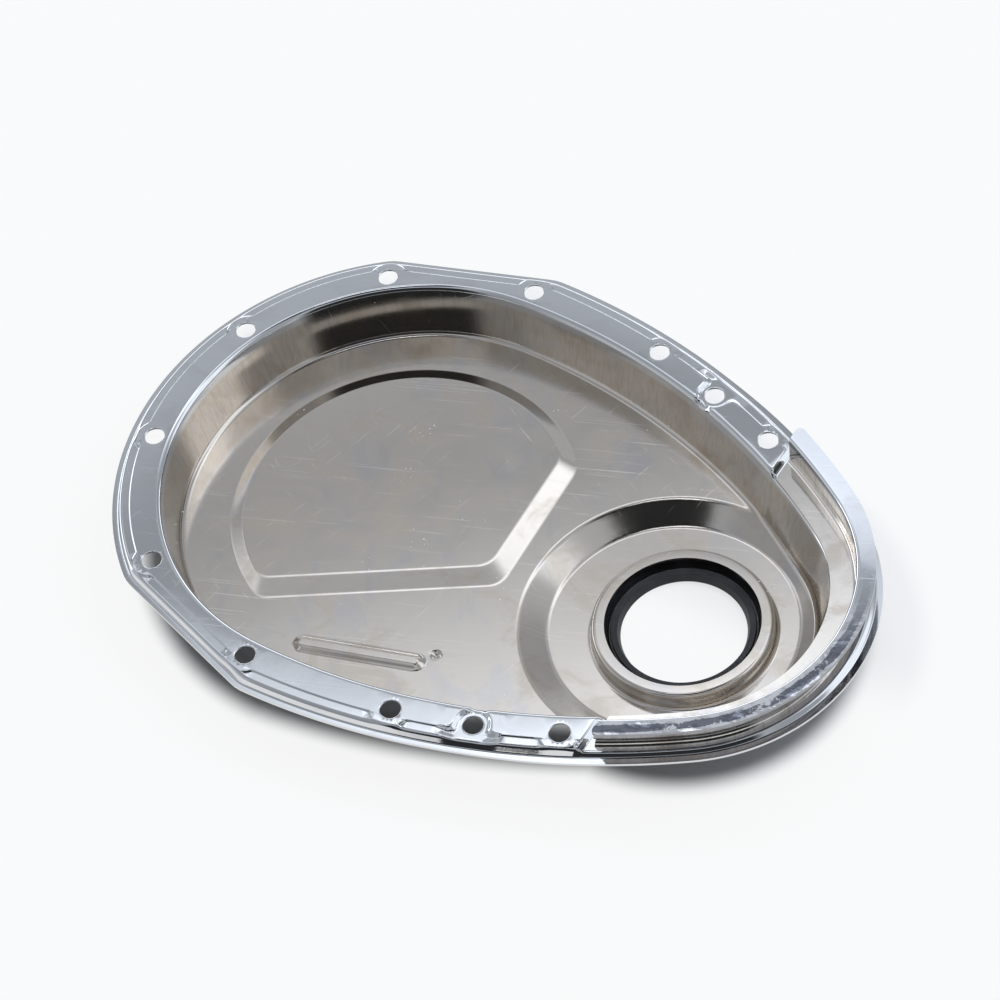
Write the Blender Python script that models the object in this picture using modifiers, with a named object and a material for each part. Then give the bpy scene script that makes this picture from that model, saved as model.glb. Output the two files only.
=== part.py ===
"""Timing cover: a drawn sheet-steel shell, its oil-pan seal channel and the crankshaft seal.

Axes: +X runs from the crank axis to the cam axis and +Z points out of the open engine side.
The sizes below are set out from the crank axis, in the plane of the mating flange. One parent
empty then stands the cover on its front face, with the origin at the middle of its footprint.
"""

import math

import bmesh
import bpy
from mathutils import Vector
from mathutils.geometry import delaunay_2d_cdt

MM = 0.001

# Sheet and clearances
SHEET = 1.2 * MM
CHANNEL_SHEET = 1.2 * MM
SEAL_CASE_SHEET = 0.8 * MM
SEAT_GAP = 0.3 * MM

# The two shafts that the cover is set out from
CAM_TO_CRANK = 130.86 * MM

# Crankshaft seal, sized outwards from the bore of its lip to the steel case and the garter spring
LIP_BORE_RADIUS = 24.9 * MM
LIP_EDGE_WIDTH = 1.1 * MM
LIP_MOUTH_WIDTH = 1.9 * MM
LIP_HEAD_WIDTH = 2.5 * MM
LIP_HEAD_HEIGHT = 4.6 * MM
LIP_HEAD_FALL = 0.7 * MM
LIP_EDGE_HEIGHT = 0.8 * MM
LIP_NECK_WIDTH = 1.9 * MM
SEAL_WEB = 1.1 * MM
SEAL_LINING = 1.0 * MM
SEAL_CASE_RECESS = 0.2 * MM
SEAL_CASE_HEIGHT = 6.6 * MM
SEAL_CASE_BEND = 1.2 * MM
SEAL_CASE_OPENING_RADIUS = LIP_BORE_RADIUS + LIP_MOUTH_WIDTH + LIP_NECK_WIDTH + SEAT_GAP
SPRING_WIRE_RADIUS = 0.8 * MM
SPRING_STAND_OFF = 0.6 * MM
SPRING_RING_RADIUS = LIP_BORE_RADIUS + LIP_HEAD_WIDTH + LIP_EDGE_WIDTH + SPRING_STAND_OFF
SPRING_GROOVE_STEPS = 4

# Collar drawn up round the seal, and the bowl that it stands in
COLLAR_TO_SPRING = 7.1 * MM
COLLAR_RADIUS = SPRING_RING_RADIUS + COLLAR_TO_SPRING
COLLAR_HEIGHT = 7.6 * MM
COLLAR_FOOT_FILLET = 1.8 * MM
COLLAR_TOP_FILLET = 2.2 * MM
COLLAR_TOP_WIDTH = 5.4 * MM
COLLAR_OPENING_RADIUS = COLLAR_RADIUS - COLLAR_TOP_WIDTH
BOWL_CENTRE_X = 4.8 * MM
BOWL_RING_WIDTH = 12.7 * MM
BOWL_SLOPE = 13.1 * MM
BOWL_FLAT_RADIUS = COLLAR_RADIUS + BOWL_RING_WIDTH
BOWL_RADIUS = BOWL_FLAT_RADIUS + BOWL_SLOPE
BOWL_DEPTH = 5.0 * MM

# Raised half-round field on the floor, under the cam gear, with two straight sides
FIELD_OFFSET = 0.94 * MM
FIELD_RISE = 1.3 * MM
FIELD_RADIUS = 73.0 * MM
FIELD_LOW_SIDE_CUT = 28.3 * MM
FIELD_LOW_SIDE_ANGLE = math.radians(121.0)
FIELD_CRANK_SIDE_CUT = 15.8 * MM
FIELD_CRANK_SIDE_ANGLE = math.radians(183.4)
FIELD_ARC_SLOPE = 6.2 * MM
FIELD_LOW_SIDE_SLOPE = 10.7 * MM
FIELD_CRANK_SIDE_SLOPE = 9.8 * MM

# Outline where the inner wall would meet the floor, set round the collar and the field
FIELD_TO_WALL = 21.2 * MM
COLLAR_TO_WALL = 16.7 * MM
WALL_FOOT_CAM_RADIUS = FIELD_RADIUS + FIELD_TO_WALL
WALL_FOOT_CRANK_RADIUS = COLLAR_RADIUS + COLLAR_TO_WALL
WALL_FOOT_FLANK_RADIUS = 289.6 * MM

# Outline where the wall would meet the flange
CAM_WALL_DRAFT = 3.0 * MM
CRANK_WALL_DRAFT = 4.5 * MM
WALL_TOP_CAM_RADIUS = WALL_FOOT_CAM_RADIUS + CAM_WALL_DRAFT
WALL_TOP_CRANK_RADIUS = WALL_FOOT_CRANK_RADIUS + CRANK_WALL_DRAFT
WALL_TOP_FLANK_RADIUS = 280.0 * MM

# Outline of the lip, the outermost edge of the shell
CAM_FLANGE_WIDTH = 20.6 * MM
CRANK_FLANGE_WIDTH = 19.8 * MM
LIP_CAM_RADIUS = WALL_TOP_CAM_RADIUS + CAM_FLANGE_WIDTH
LIP_CRANK_RADIUS = WALL_TOP_CRANK_RADIUS + CRANK_FLANGE_WIDTH
LIP_FLANK_RADIUS = 316.7 * MM
CORNER_CUT = 5.9 * MM
CORNER_CUT_ANGLE = math.radians(73.0)
CORNER_ROUNDING = 0.9 * MM
LIP_FLARE = 0.6 * MM
LIP_FLARE_START_X = 40.0 * MM

# Section of the rim and the wall
LIP_WIDTH = 1.6 * MM
LIP_DROP = 3.5 * MM
SKIRT_SLOPE = math.radians(62.0)
SKIRT_FOOT_RADIUS = 1.0 * MM
SKIRT_TOP_RADIUS = 1.7 * MM
STEP_INSET = 8.2 * MM
STEP_SPAN = 0.8 * MM
BAND_DROP = 0.5 * MM
PAD_REACH = 7.4 * MM
PAD_BLEND = 1.4 * MM
TOP_FILLET = 2.4 * MM
FOOT_FILLET = 2.5 * MM
FLOOR_DEPTH = 25.0 * MM

# Holes in the flange, placed outwards from the wall, and the recess pressed round each dowel hole
BOLT_HOLE_RADIUS = 4.06 * MM
DOWEL_HOLE_RADIUS = 3.99 * MM
HOLE_STEPS = 24
CAM_BOLT_TO_WALL = 8.0 * MM
BOLT_CIRCLE_ANGLES = (math.radians(18.0), math.radians(53.8), math.radians(89.4))
SIDE_BOLT_TO_WALL = 8.8 * MM
UPPER_SIDE_BOLT_X = 67.4 * MM
LOWER_SIDE_BOLT_X = 4.9 * MM
DOWEL_TO_WALL = 8.0 * MM
DOWEL_X = 36.2 * MM
RECESS_RADIUS = 7.4 * MM
RECESS_SLOPE = 1.8 * MM
RECESS_DROP = 1.3 * MM
RECESS_BLEND = 5.0 * MM
RECESS_FADE_START = 8.0 * MM
RECESS_FADE_SPAN = 6.0 * MM

# Stiffening bead and locating dimple on the floor, placed inwards from the foot of the wall
BEAD_CAM_END = (129.0 * MM, 16.6 * MM)
BEAD_CRANK_END = (84.0 * MM, 25.1 * MM)
BEAD_HALF_WIDTH = 4.2 * MM
BEAD_TOP_HALF_WIDTH = 1.9 * MM
BEAD_RISE = 2.0 * MM
BEAD_END_STEPS = 6
DIMPLE = (78.7 * MM, 31.0 * MM)
DIMPLE_RADIUS = 2.8 * MM
DIMPLE_DEPTH = 1.2 * MM
DIMPLE_STEPS = 12

# Ledge beside the crank, and the channel for the oil-pan seal that stands on it
LEDGE_DROP = 2.0 * MM
LEDGE_START_X = -3.2 * MM
LEDGE_RAMP = 3.2 * MM
CHANNEL_END_GAP = 0.9 * MM
STRIP_SETBACK_PLUS_Y = 3.0 * MM
STRIP_SETBACK_MINUS_Y = 0.5 * MM
CHANNEL_HEIGHT = 12.7 * MM
CHANNEL_FOOT_OVERHANG = 0.5 * MM
CHANNEL_WEB_INSET = 9.2 * MM
CHANNEL_BEND = 1.6 * MM
STRIP_INSET = 1.6 * MM
STRIP_CORNER = 3.6 * MM
CHANNEL_STEPS = 20

# Fineness of the curved forms
CAM_END_STEPS = 4
BETWEEN_BOLTS_STEPS = 8
PAST_BOLTS_STEPS = 2
FLANK_CAM_END_X = 115.0 * MM
FLANK_CRANK_END_X = -30.0 * MM
FLANK_STEP = 7.4 * MM
DOWEL_ZONE = 10.0 * MM
DOWEL_ZONE_STEP = 2.5 * MM
CRANK_STEPS = 10
ROUND_STEPS = 48
PAD_ARC_STEPS = 28
FILLET_STEPS = 3
LOOP_MARGIN = 2.0 * MM
WELD = 0.01 * MM

CHROME = (0.62, 0.64, 0.68)
SEAL_PAINT = (0.03, 0.03, 0.03)
SEAL_RUBBER = (0.015, 0.015, 0.017)
SPRING_STEEL = (0.45, 0.45, 0.46)


def smoothstep(value):
    value = min(max(value, 0.0), 1.0)
    return value * value * (3 - 2 * value)


def smooth_minimum(first, second, rounding):
    overlap = max(rounding - abs(first - second), 0.0) / rounding
    return min(first, second) - overlap * overlap * rounding / 4


def on_plus_side(point):
    return Vector((point[0], abs(point[1])))


def polar(radius, angle):
    return Vector((radius * math.cos(angle), radius * math.sin(angle)))


def even_steps(first, last, count):
    """Values from first up to but not including last."""
    return [first + (last - first) * step / count for step in range(count)]


def cam_angles():
    """Angles round the cam axis: even steps, with one on the line of each bolt hole."""
    angles = even_steps(0.0, BOLT_CIRCLE_ANGLES[0], CAM_END_STEPS)
    for first, last in zip(BOLT_CIRCLE_ANGLES, BOLT_CIRCLE_ANGLES[1:]):
        angles += even_steps(first, last, BETWEEN_BOLTS_STEPS)
    return angles


def flank_places():
    """Places along the flank, closer together where the dowel recess shapes the wall's edge."""
    zone_start = DOWEL_X + DOWEL_ZONE
    zone_end = DOWEL_X - DOWEL_ZONE
    marks = (FLANK_CAM_END_X, UPPER_SIDE_BOLT_X, zone_start, zone_end, LOWER_SIDE_BOLT_X,
             LEDGE_START_X, LEDGE_START_X - LEDGE_RAMP, FLANK_CRANK_END_X)
    places = []
    for first, last in zip(marks, marks[1:]):
        spacing = DOWEL_ZONE_STEP if first == zone_start else FLANK_STEP
        places += even_steps(first, last, math.ceil((first - last) / spacing - 0.2))
    return places


class Egg:
    """Outline symmetric about X: arcs round the cam and crank axes, and a flat arc on each side."""

    def __init__(self, cam_radius, crank_radius, flank_radius, corner_cut=None):
        self.cam_radius = cam_radius
        self.crank_radius = crank_radius
        self.flank_radius = flank_radius
        self.corner_cut = corner_cut
        to_cam = flank_radius - cam_radius
        to_crank = flank_radius - crank_radius
        self.flank_x = (to_crank ** 2 - to_cam ** 2 + CAM_TO_CRANK ** 2) / (2 * CAM_TO_CRANK)
        self.flank_y = -math.sqrt(to_crank ** 2 - self.flank_x ** 2)

    def inset(self, distance):
        cut = None if self.corner_cut is None else self.corner_cut - distance
        return Egg(self.cam_radius - distance, self.crank_radius - distance,
                   self.flank_radius - distance, cut)

    def depth(self, point):
        """How far inside the outline a point lies."""
        place = on_plus_side(point)
        from_flank = place - Vector((self.flank_x, self.flank_y))
        cam_side = Vector((CAM_TO_CRANK - self.flank_x, -self.flank_y))
        crank_side = Vector((-self.flank_x, -self.flank_y))
        from_cam = place - Vector((CAM_TO_CRANK, 0.0))
        if cam_side.x * from_flank.y - cam_side.y * from_flank.x < 0.0:
            inside = self.cam_radius - from_cam.length
        elif crank_side.x * from_flank.y - crank_side.y * from_flank.x > 0.0:
            inside = self.crank_radius - place.length
        else:
            inside = self.flank_radius - from_flank.length
        if self.corner_cut is not None:
            inside_cut = self.corner_cut - from_cam.dot(polar(1.0, CORNER_CUT_ANGLE))
            inside = smooth_minimum(inside, inside_cut, CORNER_ROUNDING)
        return inside

    def flank_point(self, x):
        rise = math.sqrt(self.flank_radius ** 2 - (x - self.flank_x) ** 2)
        return Vector((x, self.flank_y + rise))

    def ray_to_flank(self, axis_x, direction):
        centre = Vector((self.flank_x - axis_x, self.flank_y))
        along = centre.dot(direction)
        return along + math.sqrt(self.flank_radius ** 2 - centre.length_squared + along ** 2)

    def cam_point(self, angle):
        direction = polar(1.0, angle)
        flank_starts = math.atan2(-self.flank_y, CAM_TO_CRANK - self.flank_x)
        reach = self.cam_radius
        if angle > flank_starts:
            reach = self.ray_to_flank(CAM_TO_CRANK, direction)
        facing = math.cos(angle - CORNER_CUT_ANGLE)
        if self.corner_cut is not None and facing > 0.0:
            reach = smooth_minimum(reach, self.corner_cut / facing, CORNER_ROUNDING)
        return Vector((CAM_TO_CRANK, 0.0)) + direction * reach

    def crank_point(self, angle):
        direction = polar(1.0, angle)
        flank_ends = math.atan2(-self.flank_y, -self.flank_x)
        reach = self.crank_radius
        if angle < flank_ends:
            reach = self.ray_to_flank(0.0, direction)
        return direction * reach

    def crank_arc(self, start_x, steps):
        """Points from the flank at one X to the crank end, even in angle about the crank."""
        first = self.flank_point(start_x)
        start = math.atan2(first.y, first.x)
        return [self.crank_point(start + (math.pi - start) * step / steps)
                for step in range(steps + 1)]

    def half(self):
        """Points from the cam end to the crank end on the +Y side, the same count on any egg."""
        angles = cam_angles()
        first = self.flank_point(FLANK_CAM_END_X) - Vector((CAM_TO_CRANK, 0.0))
        flank_angle = math.atan2(first.y, first.x)
        angles += even_steps(BOLT_CIRCLE_ANGLES[-1], flank_angle, PAST_BOLTS_STEPS)
        points = [self.cam_point(angle) for angle in angles]
        points += [self.flank_point(x) for x in flank_places()]
        return points + self.crank_arc(FLANK_CRANK_END_X, CRANK_STEPS)


LIP = Egg(LIP_CAM_RADIUS, LIP_CRANK_RADIUS, LIP_FLANK_RADIUS, LIP_CAM_RADIUS - CORNER_CUT)
WALL_TOP = Egg(WALL_TOP_CAM_RADIUS, WALL_TOP_CRANK_RADIUS, WALL_TOP_FLANK_RADIUS)
WALL_FOOT = Egg(WALL_FOOT_CAM_RADIUS, WALL_FOOT_CRANK_RADIUS, WALL_FOOT_FLANK_RADIUS)
UPPER_SIDE_BOLT = WALL_TOP.inset(-SIDE_BOLT_TO_WALL).flank_point(UPPER_SIDE_BOLT_X)
LOWER_SIDE_BOLT = WALL_TOP.inset(-SIDE_BOLT_TO_WALL).flank_point(LOWER_SIDE_BOLT_X)
DOWEL = WALL_TOP.inset(-DOWEL_TO_WALL).flank_point(DOWEL_X)
BEAD_ENDS = [WALL_FOOT.inset(inside).flank_point(x) for x, inside in (BEAD_CAM_END, BEAD_CRANK_END)]
DIMPLE_PLACE = WALL_FOOT.inset(DIMPLE[1]).flank_point(DIMPLE[0])
FIELD_CENTRE = Vector((CAM_TO_CRANK + FIELD_OFFSET, 0.0))


def mirrored_loop(half):
    """A closed loop from its +Y half, whose two end points lie on the X axis."""
    return half + [Vector((point[0], -point[1])) for point in reversed(half[1:-1])]


def raised(half, height):
    """Closed loop in space from a flat half outline and a height for each of its points."""
    return [Vector((point.x, point.y, height(point))) for point in mirrored_loop(half)]


def bolt_places():
    places = [UPPER_SIDE_BOLT, LOWER_SIDE_BOLT]
    circle_radius = WALL_TOP_CAM_RADIUS + CAM_BOLT_TO_WALL
    for angle in BOLT_CIRCLE_ANGLES:
        places.append(Vector((CAM_TO_CRANK, 0.0)) + polar(circle_radius, angle))
    return places


def ledge_share(x):
    """0 on the mating face, 1 on the ledge that carries the pan-seal channel."""
    return smoothstep((LEDGE_START_X - x) / LEDGE_RAMP)


def beside_dowel(point):
    """1 in the recess round the dowel hole, and 0 well away from it."""
    distance = (on_plus_side(point) - DOWEL).length
    return 1 - smoothstep((distance - RECESS_FADE_START) / RECESS_FADE_SPAN)


def low_share(point):
    """How far down the step a point lies: 0 on the mating face, 1 in the band or a dowel recess."""
    from_dowel = (on_plus_side(point) - DOWEL).length
    outside = smooth_minimum(LIP.depth(point) - STEP_INSET, from_dowel - RECESS_RADIUS, RECESS_BLEND)
    span = STEP_SPAN + (RECESS_SLOPE - STEP_SPAN) * beside_dowel(point)
    return -outside / span


def rim_height(point):
    """Height of the flange: mating face, outer band, bolt pads, dowel recesses and ledge."""
    nearest = min((on_plus_side(point) - place).length for place in bolt_places())
    beside_pad = smoothstep((nearest - PAD_REACH) / PAD_BLEND)
    drop = BAND_DROP + (RECESS_DROP - BAND_DROP) * beside_dowel(point)
    ledge = ledge_share(point.x)
    return -drop * smoothstep(low_share(point)) * beside_pad * (1 - ledge) - LEDGE_DROP * ledge


def skirt_profile():
    """Inset and height share of each line of the skirt, from the lip up to the band."""
    whole_rise = LIP_DROP - BAND_DROP
    foot_rise = SKIRT_FOOT_RADIUS * (1 - math.cos(SKIRT_SLOPE))
    top_fall = SKIRT_TOP_RADIUS * (1 - math.cos(SKIRT_SLOPE))
    straight = (whole_rise - foot_rise - top_fall) / math.tan(SKIRT_SLOPE)
    slope_start = LIP_WIDTH + SKIRT_FOOT_RADIUS * math.sin(SKIRT_SLOPE)
    slope_end = slope_start + straight
    top_start = slope_end + SKIRT_TOP_RADIUS * math.sin(SKIRT_SLOPE)
    profile = [(LIP_WIDTH, 0.0), (slope_start, foot_rise)]
    for turn in (1.0, 0.5, 0.0):
        angle = SKIRT_SLOPE * turn
        inset = top_start - SKIRT_TOP_RADIUS * math.sin(angle)
        profile.append((inset, whole_rise - SKIRT_TOP_RADIUS * (1 - math.cos(angle))))
    return [(inset, rise / whole_rise) for inset, rise in profile]


def lip_and_skirt_loops():
    lip_edge = []
    for point in LIP.half():
        outwards = LIP.inset(-LIP_FLARE)
        flare = smoothstep((LIP_FLARE_START_X - point.x) / LIP_FLARE_START_X)
        place = point + point.normalized() * (outwards.depth(point) * flare)
        lip_edge.append(place)
    loops = [raised(lip_edge, lambda point: -LIP_DROP)]
    for inset, share in skirt_profile():
        half = LIP.inset(inset).half()
        loops.append(raised(half, lambda point, share=share: share * rim_height(point)
                            - (1 - share) * LIP_DROP))
    return loops


def wall_loops():
    """Rounded top edge, tapered wall and rounded foot, from the flange face to the floor."""
    flange_edge = WALL_TOP.inset(-TOP_FILLET).half()
    edge_heights = [rim_height(point) for point in mirrored_loop(flange_edge)]
    loops = []
    for step in range(FILLET_STEPS + 1):
        angle = math.pi / 2 * step / FILLET_STEPS
        drop = TOP_FILLET * (1 - math.cos(angle))
        half = WALL_TOP.inset(-TOP_FILLET * (1 - math.sin(angle))).half()
        loops.append([Vector((point[0], point[1], edge - drop))
                      for point, edge in zip(mirrored_loop(half), edge_heights)])
    for step in range(FILLET_STEPS, -1, -1):
        angle = math.pi / 2 * step / FILLET_STEPS
        rise = FOOT_FILLET * (1 - math.cos(angle))
        half = WALL_FOOT.inset(FOOT_FILLET * (1 - math.sin(angle))).half()
        loops.append(raised(half, lambda point, rise=rise: floor_height(point) + rise))
    return loops


def step_lines():
    """Lines along the top, middle and bottom of the step, on the +Y side of the flange."""
    outer = LIP.inset(skirt_profile()[-1][0]).half()
    inner = WALL_TOP.inset(-TOP_FILLET).half()
    lines = []
    for share in (0.0, 0.5, 1.0):
        line = []
        for outside, inside in zip(outer, inner):
            if outside.x < LEDGE_START_X:
                break
            near, far = 0.0, 1.0
            if low_share(inside) > share:
                line.append(None)
                continue
            for _ in range(24):
                middle = (near + far) / 2
                if low_share(outside.lerp(inside, middle)) > share:
                    near = middle
                else:
                    far = middle
            line.append(outside.lerp(inside, near))
        if share != 0.5:
            lines.append(line)
        else:
            lines.append([point if point and beside_dowel(point) > 0.0 else None for point in line])
    return lines


def pad_points():
    """Places along each end of the band, where it climbs to the pad round a bolt hole."""
    band_start = skirt_profile()[-1][0]
    points = []
    for bolt in bolt_places():
        for radius in (PAD_REACH, PAD_REACH + PAD_BLEND):
            for angle in even_steps(0.0, 2 * math.pi, PAD_ARC_STEPS):
                point = bolt + polar(radius, angle)
                if band_start + STEP_SPAN < LIP.depth(point) < STEP_INSET - STEP_SPAN:
                    points.append(point)
    return points


def circle(centre_x, centre_y, radius, steps):
    centre = Vector((centre_x, centre_y))
    return [centre + polar(radius, angle) for angle in even_steps(0.0, 2 * math.pi, steps)]


def field_sides():
    """Each straight side of the field: its distance, the width of its slope, where it faces."""
    return (
        (FIELD_RADIUS - FIELD_LOW_SIDE_CUT, FIELD_LOW_SIDE_SLOPE, FIELD_LOW_SIDE_ANGLE),
        (FIELD_RADIUS - FIELD_CRANK_SIDE_CUT, FIELD_CRANK_SIDE_SLOPE, FIELD_CRANK_SIDE_ANGLE),
    )


def field_climb(point):
    """How far up the field's slope a point lies: 0 at its foot and 1 on its top."""
    arm = point - FIELD_CENTRE
    climb = (FIELD_RADIUS - arm.length) / FIELD_ARC_SLOPE
    for distance, slope, facing in field_sides():
        climb = min(climb, (distance - arm.dot(polar(1.0, facing))) / slope)
    return climb


def field_outline(climb):
    """Contour of the field at one climb, with a point on each of its three corners."""
    radius = FIELD_RADIUS - climb * FIELD_ARC_SLOPE
    sides = [(distance - climb * slope, facing) for distance, slope, facing in field_sides()]
    (low, low_facing), (crank, crank_facing) = sides
    between = crank_facing - low_facing
    corners = [
        low_facing - math.acos(low / radius),
        crank_facing + math.acos(crank / radius),
        low_facing + math.atan2(crank - low * math.cos(between), low * math.sin(between)),
    ]
    angles = even_steps(0.0, 2 * math.pi, ROUND_STEPS)
    spacing = math.pi / ROUND_STEPS
    for corner in corners:
        angles = [angle for angle in angles if abs(angle - corner) > spacing]
        angles.append(corner)
    outline = []
    for angle in sorted(angles):
        reach = radius
        for distance, facing in sides:
            leaning = math.cos(angle - facing)
            if leaning > 0.0:
                reach = min(reach, distance / leaning)
        outline.append(FIELD_CENTRE + polar(reach, angle))
    return outline


def bead_outline(half_width):
    """Straight slot shape round the bead's two end points."""
    first, last = BEAD_ENDS
    heading = math.atan2(last.y - first.y, last.x - first.x)
    outline = []
    for centre, start in ((last, heading - math.pi / 2), (first, heading + math.pi / 2)):
        for step in range(BEAD_END_STEPS + 1):
            outline.append(centre + polar(half_width, start + math.pi * step / BEAD_END_STEPS))
    return outline


def bead_distance(point):
    first, last = BEAD_ENDS
    along = last - first
    share = (point - first).dot(along) / along.length_squared
    return (point - first - along * min(max(share, 0.0), 1.0)).length


def floor_height(point):
    """Height of the floor's upper face: bowl, raised field, bead and dimple."""
    from_bowl = (point - Vector((BOWL_CENTRE_X, 0.0))).length
    bowl_share = (BOWL_RADIUS - from_bowl) / (BOWL_RADIUS - BOWL_FLAT_RADIUS)
    bead_share = (BEAD_HALF_WIDTH - bead_distance(point)) / (BEAD_HALF_WIDTH - BEAD_TOP_HALF_WIDTH)
    dimple_share = 1 - (point - DIMPLE_PLACE).length / DIMPLE_RADIUS
    height = -FLOOR_DEPTH - BOWL_DEPTH * smoothstep(bowl_share)
    height += FIELD_RISE * smoothstep(field_climb(point))
    height += BEAD_RISE * smoothstep(bead_share)
    height -= DIMPLE_DEPTH * smoothstep(dimple_share)
    return height


def collar_loops():
    """Section of the collar from its foot on the bowl, up the wall and over the inturned top."""
    foot = -FLOOR_DEPTH - BOWL_DEPTH
    top = foot + COLLAR_HEIGHT
    section = []
    for step in range(FILLET_STEPS + 1):
        angle = math.pi / 2 * step / FILLET_STEPS
        section.append((COLLAR_RADIUS + COLLAR_FOOT_FILLET * (1 - math.sin(angle)),
                        foot + COLLAR_FOOT_FILLET * (1 - math.cos(angle))))
    for step in range(FILLET_STEPS + 1):
        angle = math.pi / 2 * step / FILLET_STEPS
        section.append((COLLAR_RADIUS - COLLAR_TOP_FILLET * (1 - math.cos(angle)),
                        top - COLLAR_TOP_FILLET * (1 - math.sin(angle))))
    section.append((COLLAR_OPENING_RADIUS, top))
    return [[Vector((point.x, point.y, height)) for point in circle(0.0, 0.0, radius, ROUND_STEPS)]
            for radius, height in section]


def add_strip(mesh, first, second, closed=True):
    """Quads between two rows of points that match index by index."""
    lower = [mesh.verts.new(point) for point in first]
    upper = [mesh.verts.new(point) for point in second]
    for index in range(len(lower) if closed else len(lower) - 1):
        after = (index + 1) % len(lower)
        mesh.faces.new((lower[index], lower[after], upper[after], upper[index]))


def add_strips(mesh, loops, closed=True):
    for first, second in zip(loops, loops[1:]):
        add_strip(mesh, first, second, closed)


def add_patch(mesh, closed_lines, open_lines, loose_points, height, keep):
    """Triangulates the flat ground between lines, and lifts every point to its own height."""
    places = []
    edges = []
    for line, closes in [(line, True) for line in closed_lines] + [(line, False) for line in open_lines]:
        start = len(places)
        places += [Vector((point[0], point[1])) for point in line]
        edges += [(start + index, start + index + 1) for index in range(len(line) - 1)]
        if closes:
            edges.append((len(places) - 1, start))
    places += loose_points
    found = delaunay_2d_cdt(places, edges, [], 0, WELD / 10)
    verts = [mesh.verts.new((point[0], point[1], height(Vector((point[0], point[1])))))
             for point in found[0]]
    for corners in found[2]:
        middle = sum((Vector((found[0][corner][0], found[0][corner][1])) for corner in corners),
                     Vector((0.0, 0.0))) / len(corners)
        if keep(middle):
            mesh.faces.new([verts[corner] for corner in corners])


def runs(line):
    """The unbroken parts of a line, without the places where it has no point."""
    parts = [[]]
    for point in line:
        if point is None:
            parts.append([])
        else:
            parts[-1].append(point)
    return [part for part in parts if part]


def add_flange(mesh):
    skirt_top = skirt_profile()[-1][0]
    outer = LIP.inset(skirt_top).half()
    inner = WALL_TOP.inset(-TOP_FILLET).half()
    open_lines = []
    for line in step_lines():
        for part in runs(line):
            open_lines.append(part)
            open_lines.append([Vector((point.x, -point.y)) for point in part])
    for x in (LEDGE_START_X, LEDGE_START_X - LEDGE_RAMP):
        ends = [LIP.inset(skirt_top).flank_point(x), WALL_TOP.inset(-TOP_FILLET).flank_point(x)]
        open_lines.append(ends)
        open_lines.append([Vector((point.x, -point.y)) for point in ends])
    loose = pad_points()
    loose += [Vector((point.x, -point.y)) for point in pad_points()]
    add_patch(mesh, [mirrored_loop(outer), mirrored_loop(inner)], open_lines, loose, rim_height,
              lambda middle: LIP.depth(middle) > skirt_top + WELD
              and WALL_TOP.inset(-TOP_FILLET).depth(middle) < 0.0)


def add_floor(mesh):
    edge = WALL_FOOT.inset(FOOT_FILLET)
    closed_lines = [mirrored_loop(edge.half())]
    collar_foot = COLLAR_RADIUS + COLLAR_FOOT_FILLET
    closed_lines.append(circle(0.0, 0.0, collar_foot, ROUND_STEPS))
    closed_lines += [field_outline(climb) for climb in (0.0, 0.25, 0.5, 0.75, 1.0)]
    half_widths = (BEAD_HALF_WIDTH, (BEAD_HALF_WIDTH + BEAD_TOP_HALF_WIDTH) / 2, BEAD_TOP_HALF_WIDTH)
    closed_lines += [bead_outline(half_width) for half_width in half_widths]
    for radius in (DIMPLE_RADIUS, DIMPLE_RADIUS / 2):
        closed_lines.append(circle(DIMPLE_PLACE.x, DIMPLE_PLACE.y, radius, DIMPLE_STEPS))
    open_lines = []
    for share in (0.0, 0.25, 0.5, 0.75, 1.0):
        radius = BOWL_RADIUS + (BOWL_FLAT_RADIUS - BOWL_RADIUS) * share
        ring = circle(BOWL_CENTRE_X, 0.0, radius, ROUND_STEPS)
        ring = ring[ROUND_STEPS // 2:] + ring[:ROUND_STEPS // 2 + 1]
        open_lines += runs([point if edge.depth(point) > LOOP_MARGIN else None for point in ring])
    add_patch(mesh, closed_lines, open_lines, [DIMPLE_PLACE], floor_height,
              lambda middle: middle.length > collar_foot * math.cos(math.pi / ROUND_STEPS))


def new_object(name, mesh, collection, colour, metallic, roughness):
    data = bpy.data.meshes.new(name)
    bmesh.ops.remove_doubles(mesh, verts=mesh.verts, dist=WELD)
    bmesh.ops.recalc_face_normals(mesh, faces=mesh.faces)
    mesh.to_mesh(data)
    mesh.free()
    piece = bpy.data.objects.new(name, data)
    collection.objects.link(piece)
    if colour is not None:
        material = bpy.data.materials.new(name + "_material")
        material.use_nodes = True
        shader = material.node_tree.nodes["Principled BSDF"]
        shader.inputs["Base Color"].default_value = (*colour, 1.0)
        shader.inputs["Metallic"].default_value = metallic
        shader.inputs["Roughness"].default_value = roughness
        data.materials.append(material)
    return piece


def face_up(piece):
    """Turns an open surface so that most of its faces look up, towards the engine side."""
    upward = sum(face.normal.z * face.area for face in piece.data.polygons)
    if upward < 0.0:
        piece.data.flip_normals()


def thicken(piece, thickness):
    solid = piece.modifiers.new("Sheet thickness", "SOLIDIFY")
    solid.thickness = thickness
    solid.offset = -1.0
    solid.use_even_offset = True
    solid.use_quality_normals = True


def smooth(piece, sharp_degrees):
    piece.data.set_sharp_from_angle(angle=math.radians(sharp_degrees))
    for face in piece.data.polygons:
        face.use_smooth = True


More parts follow.
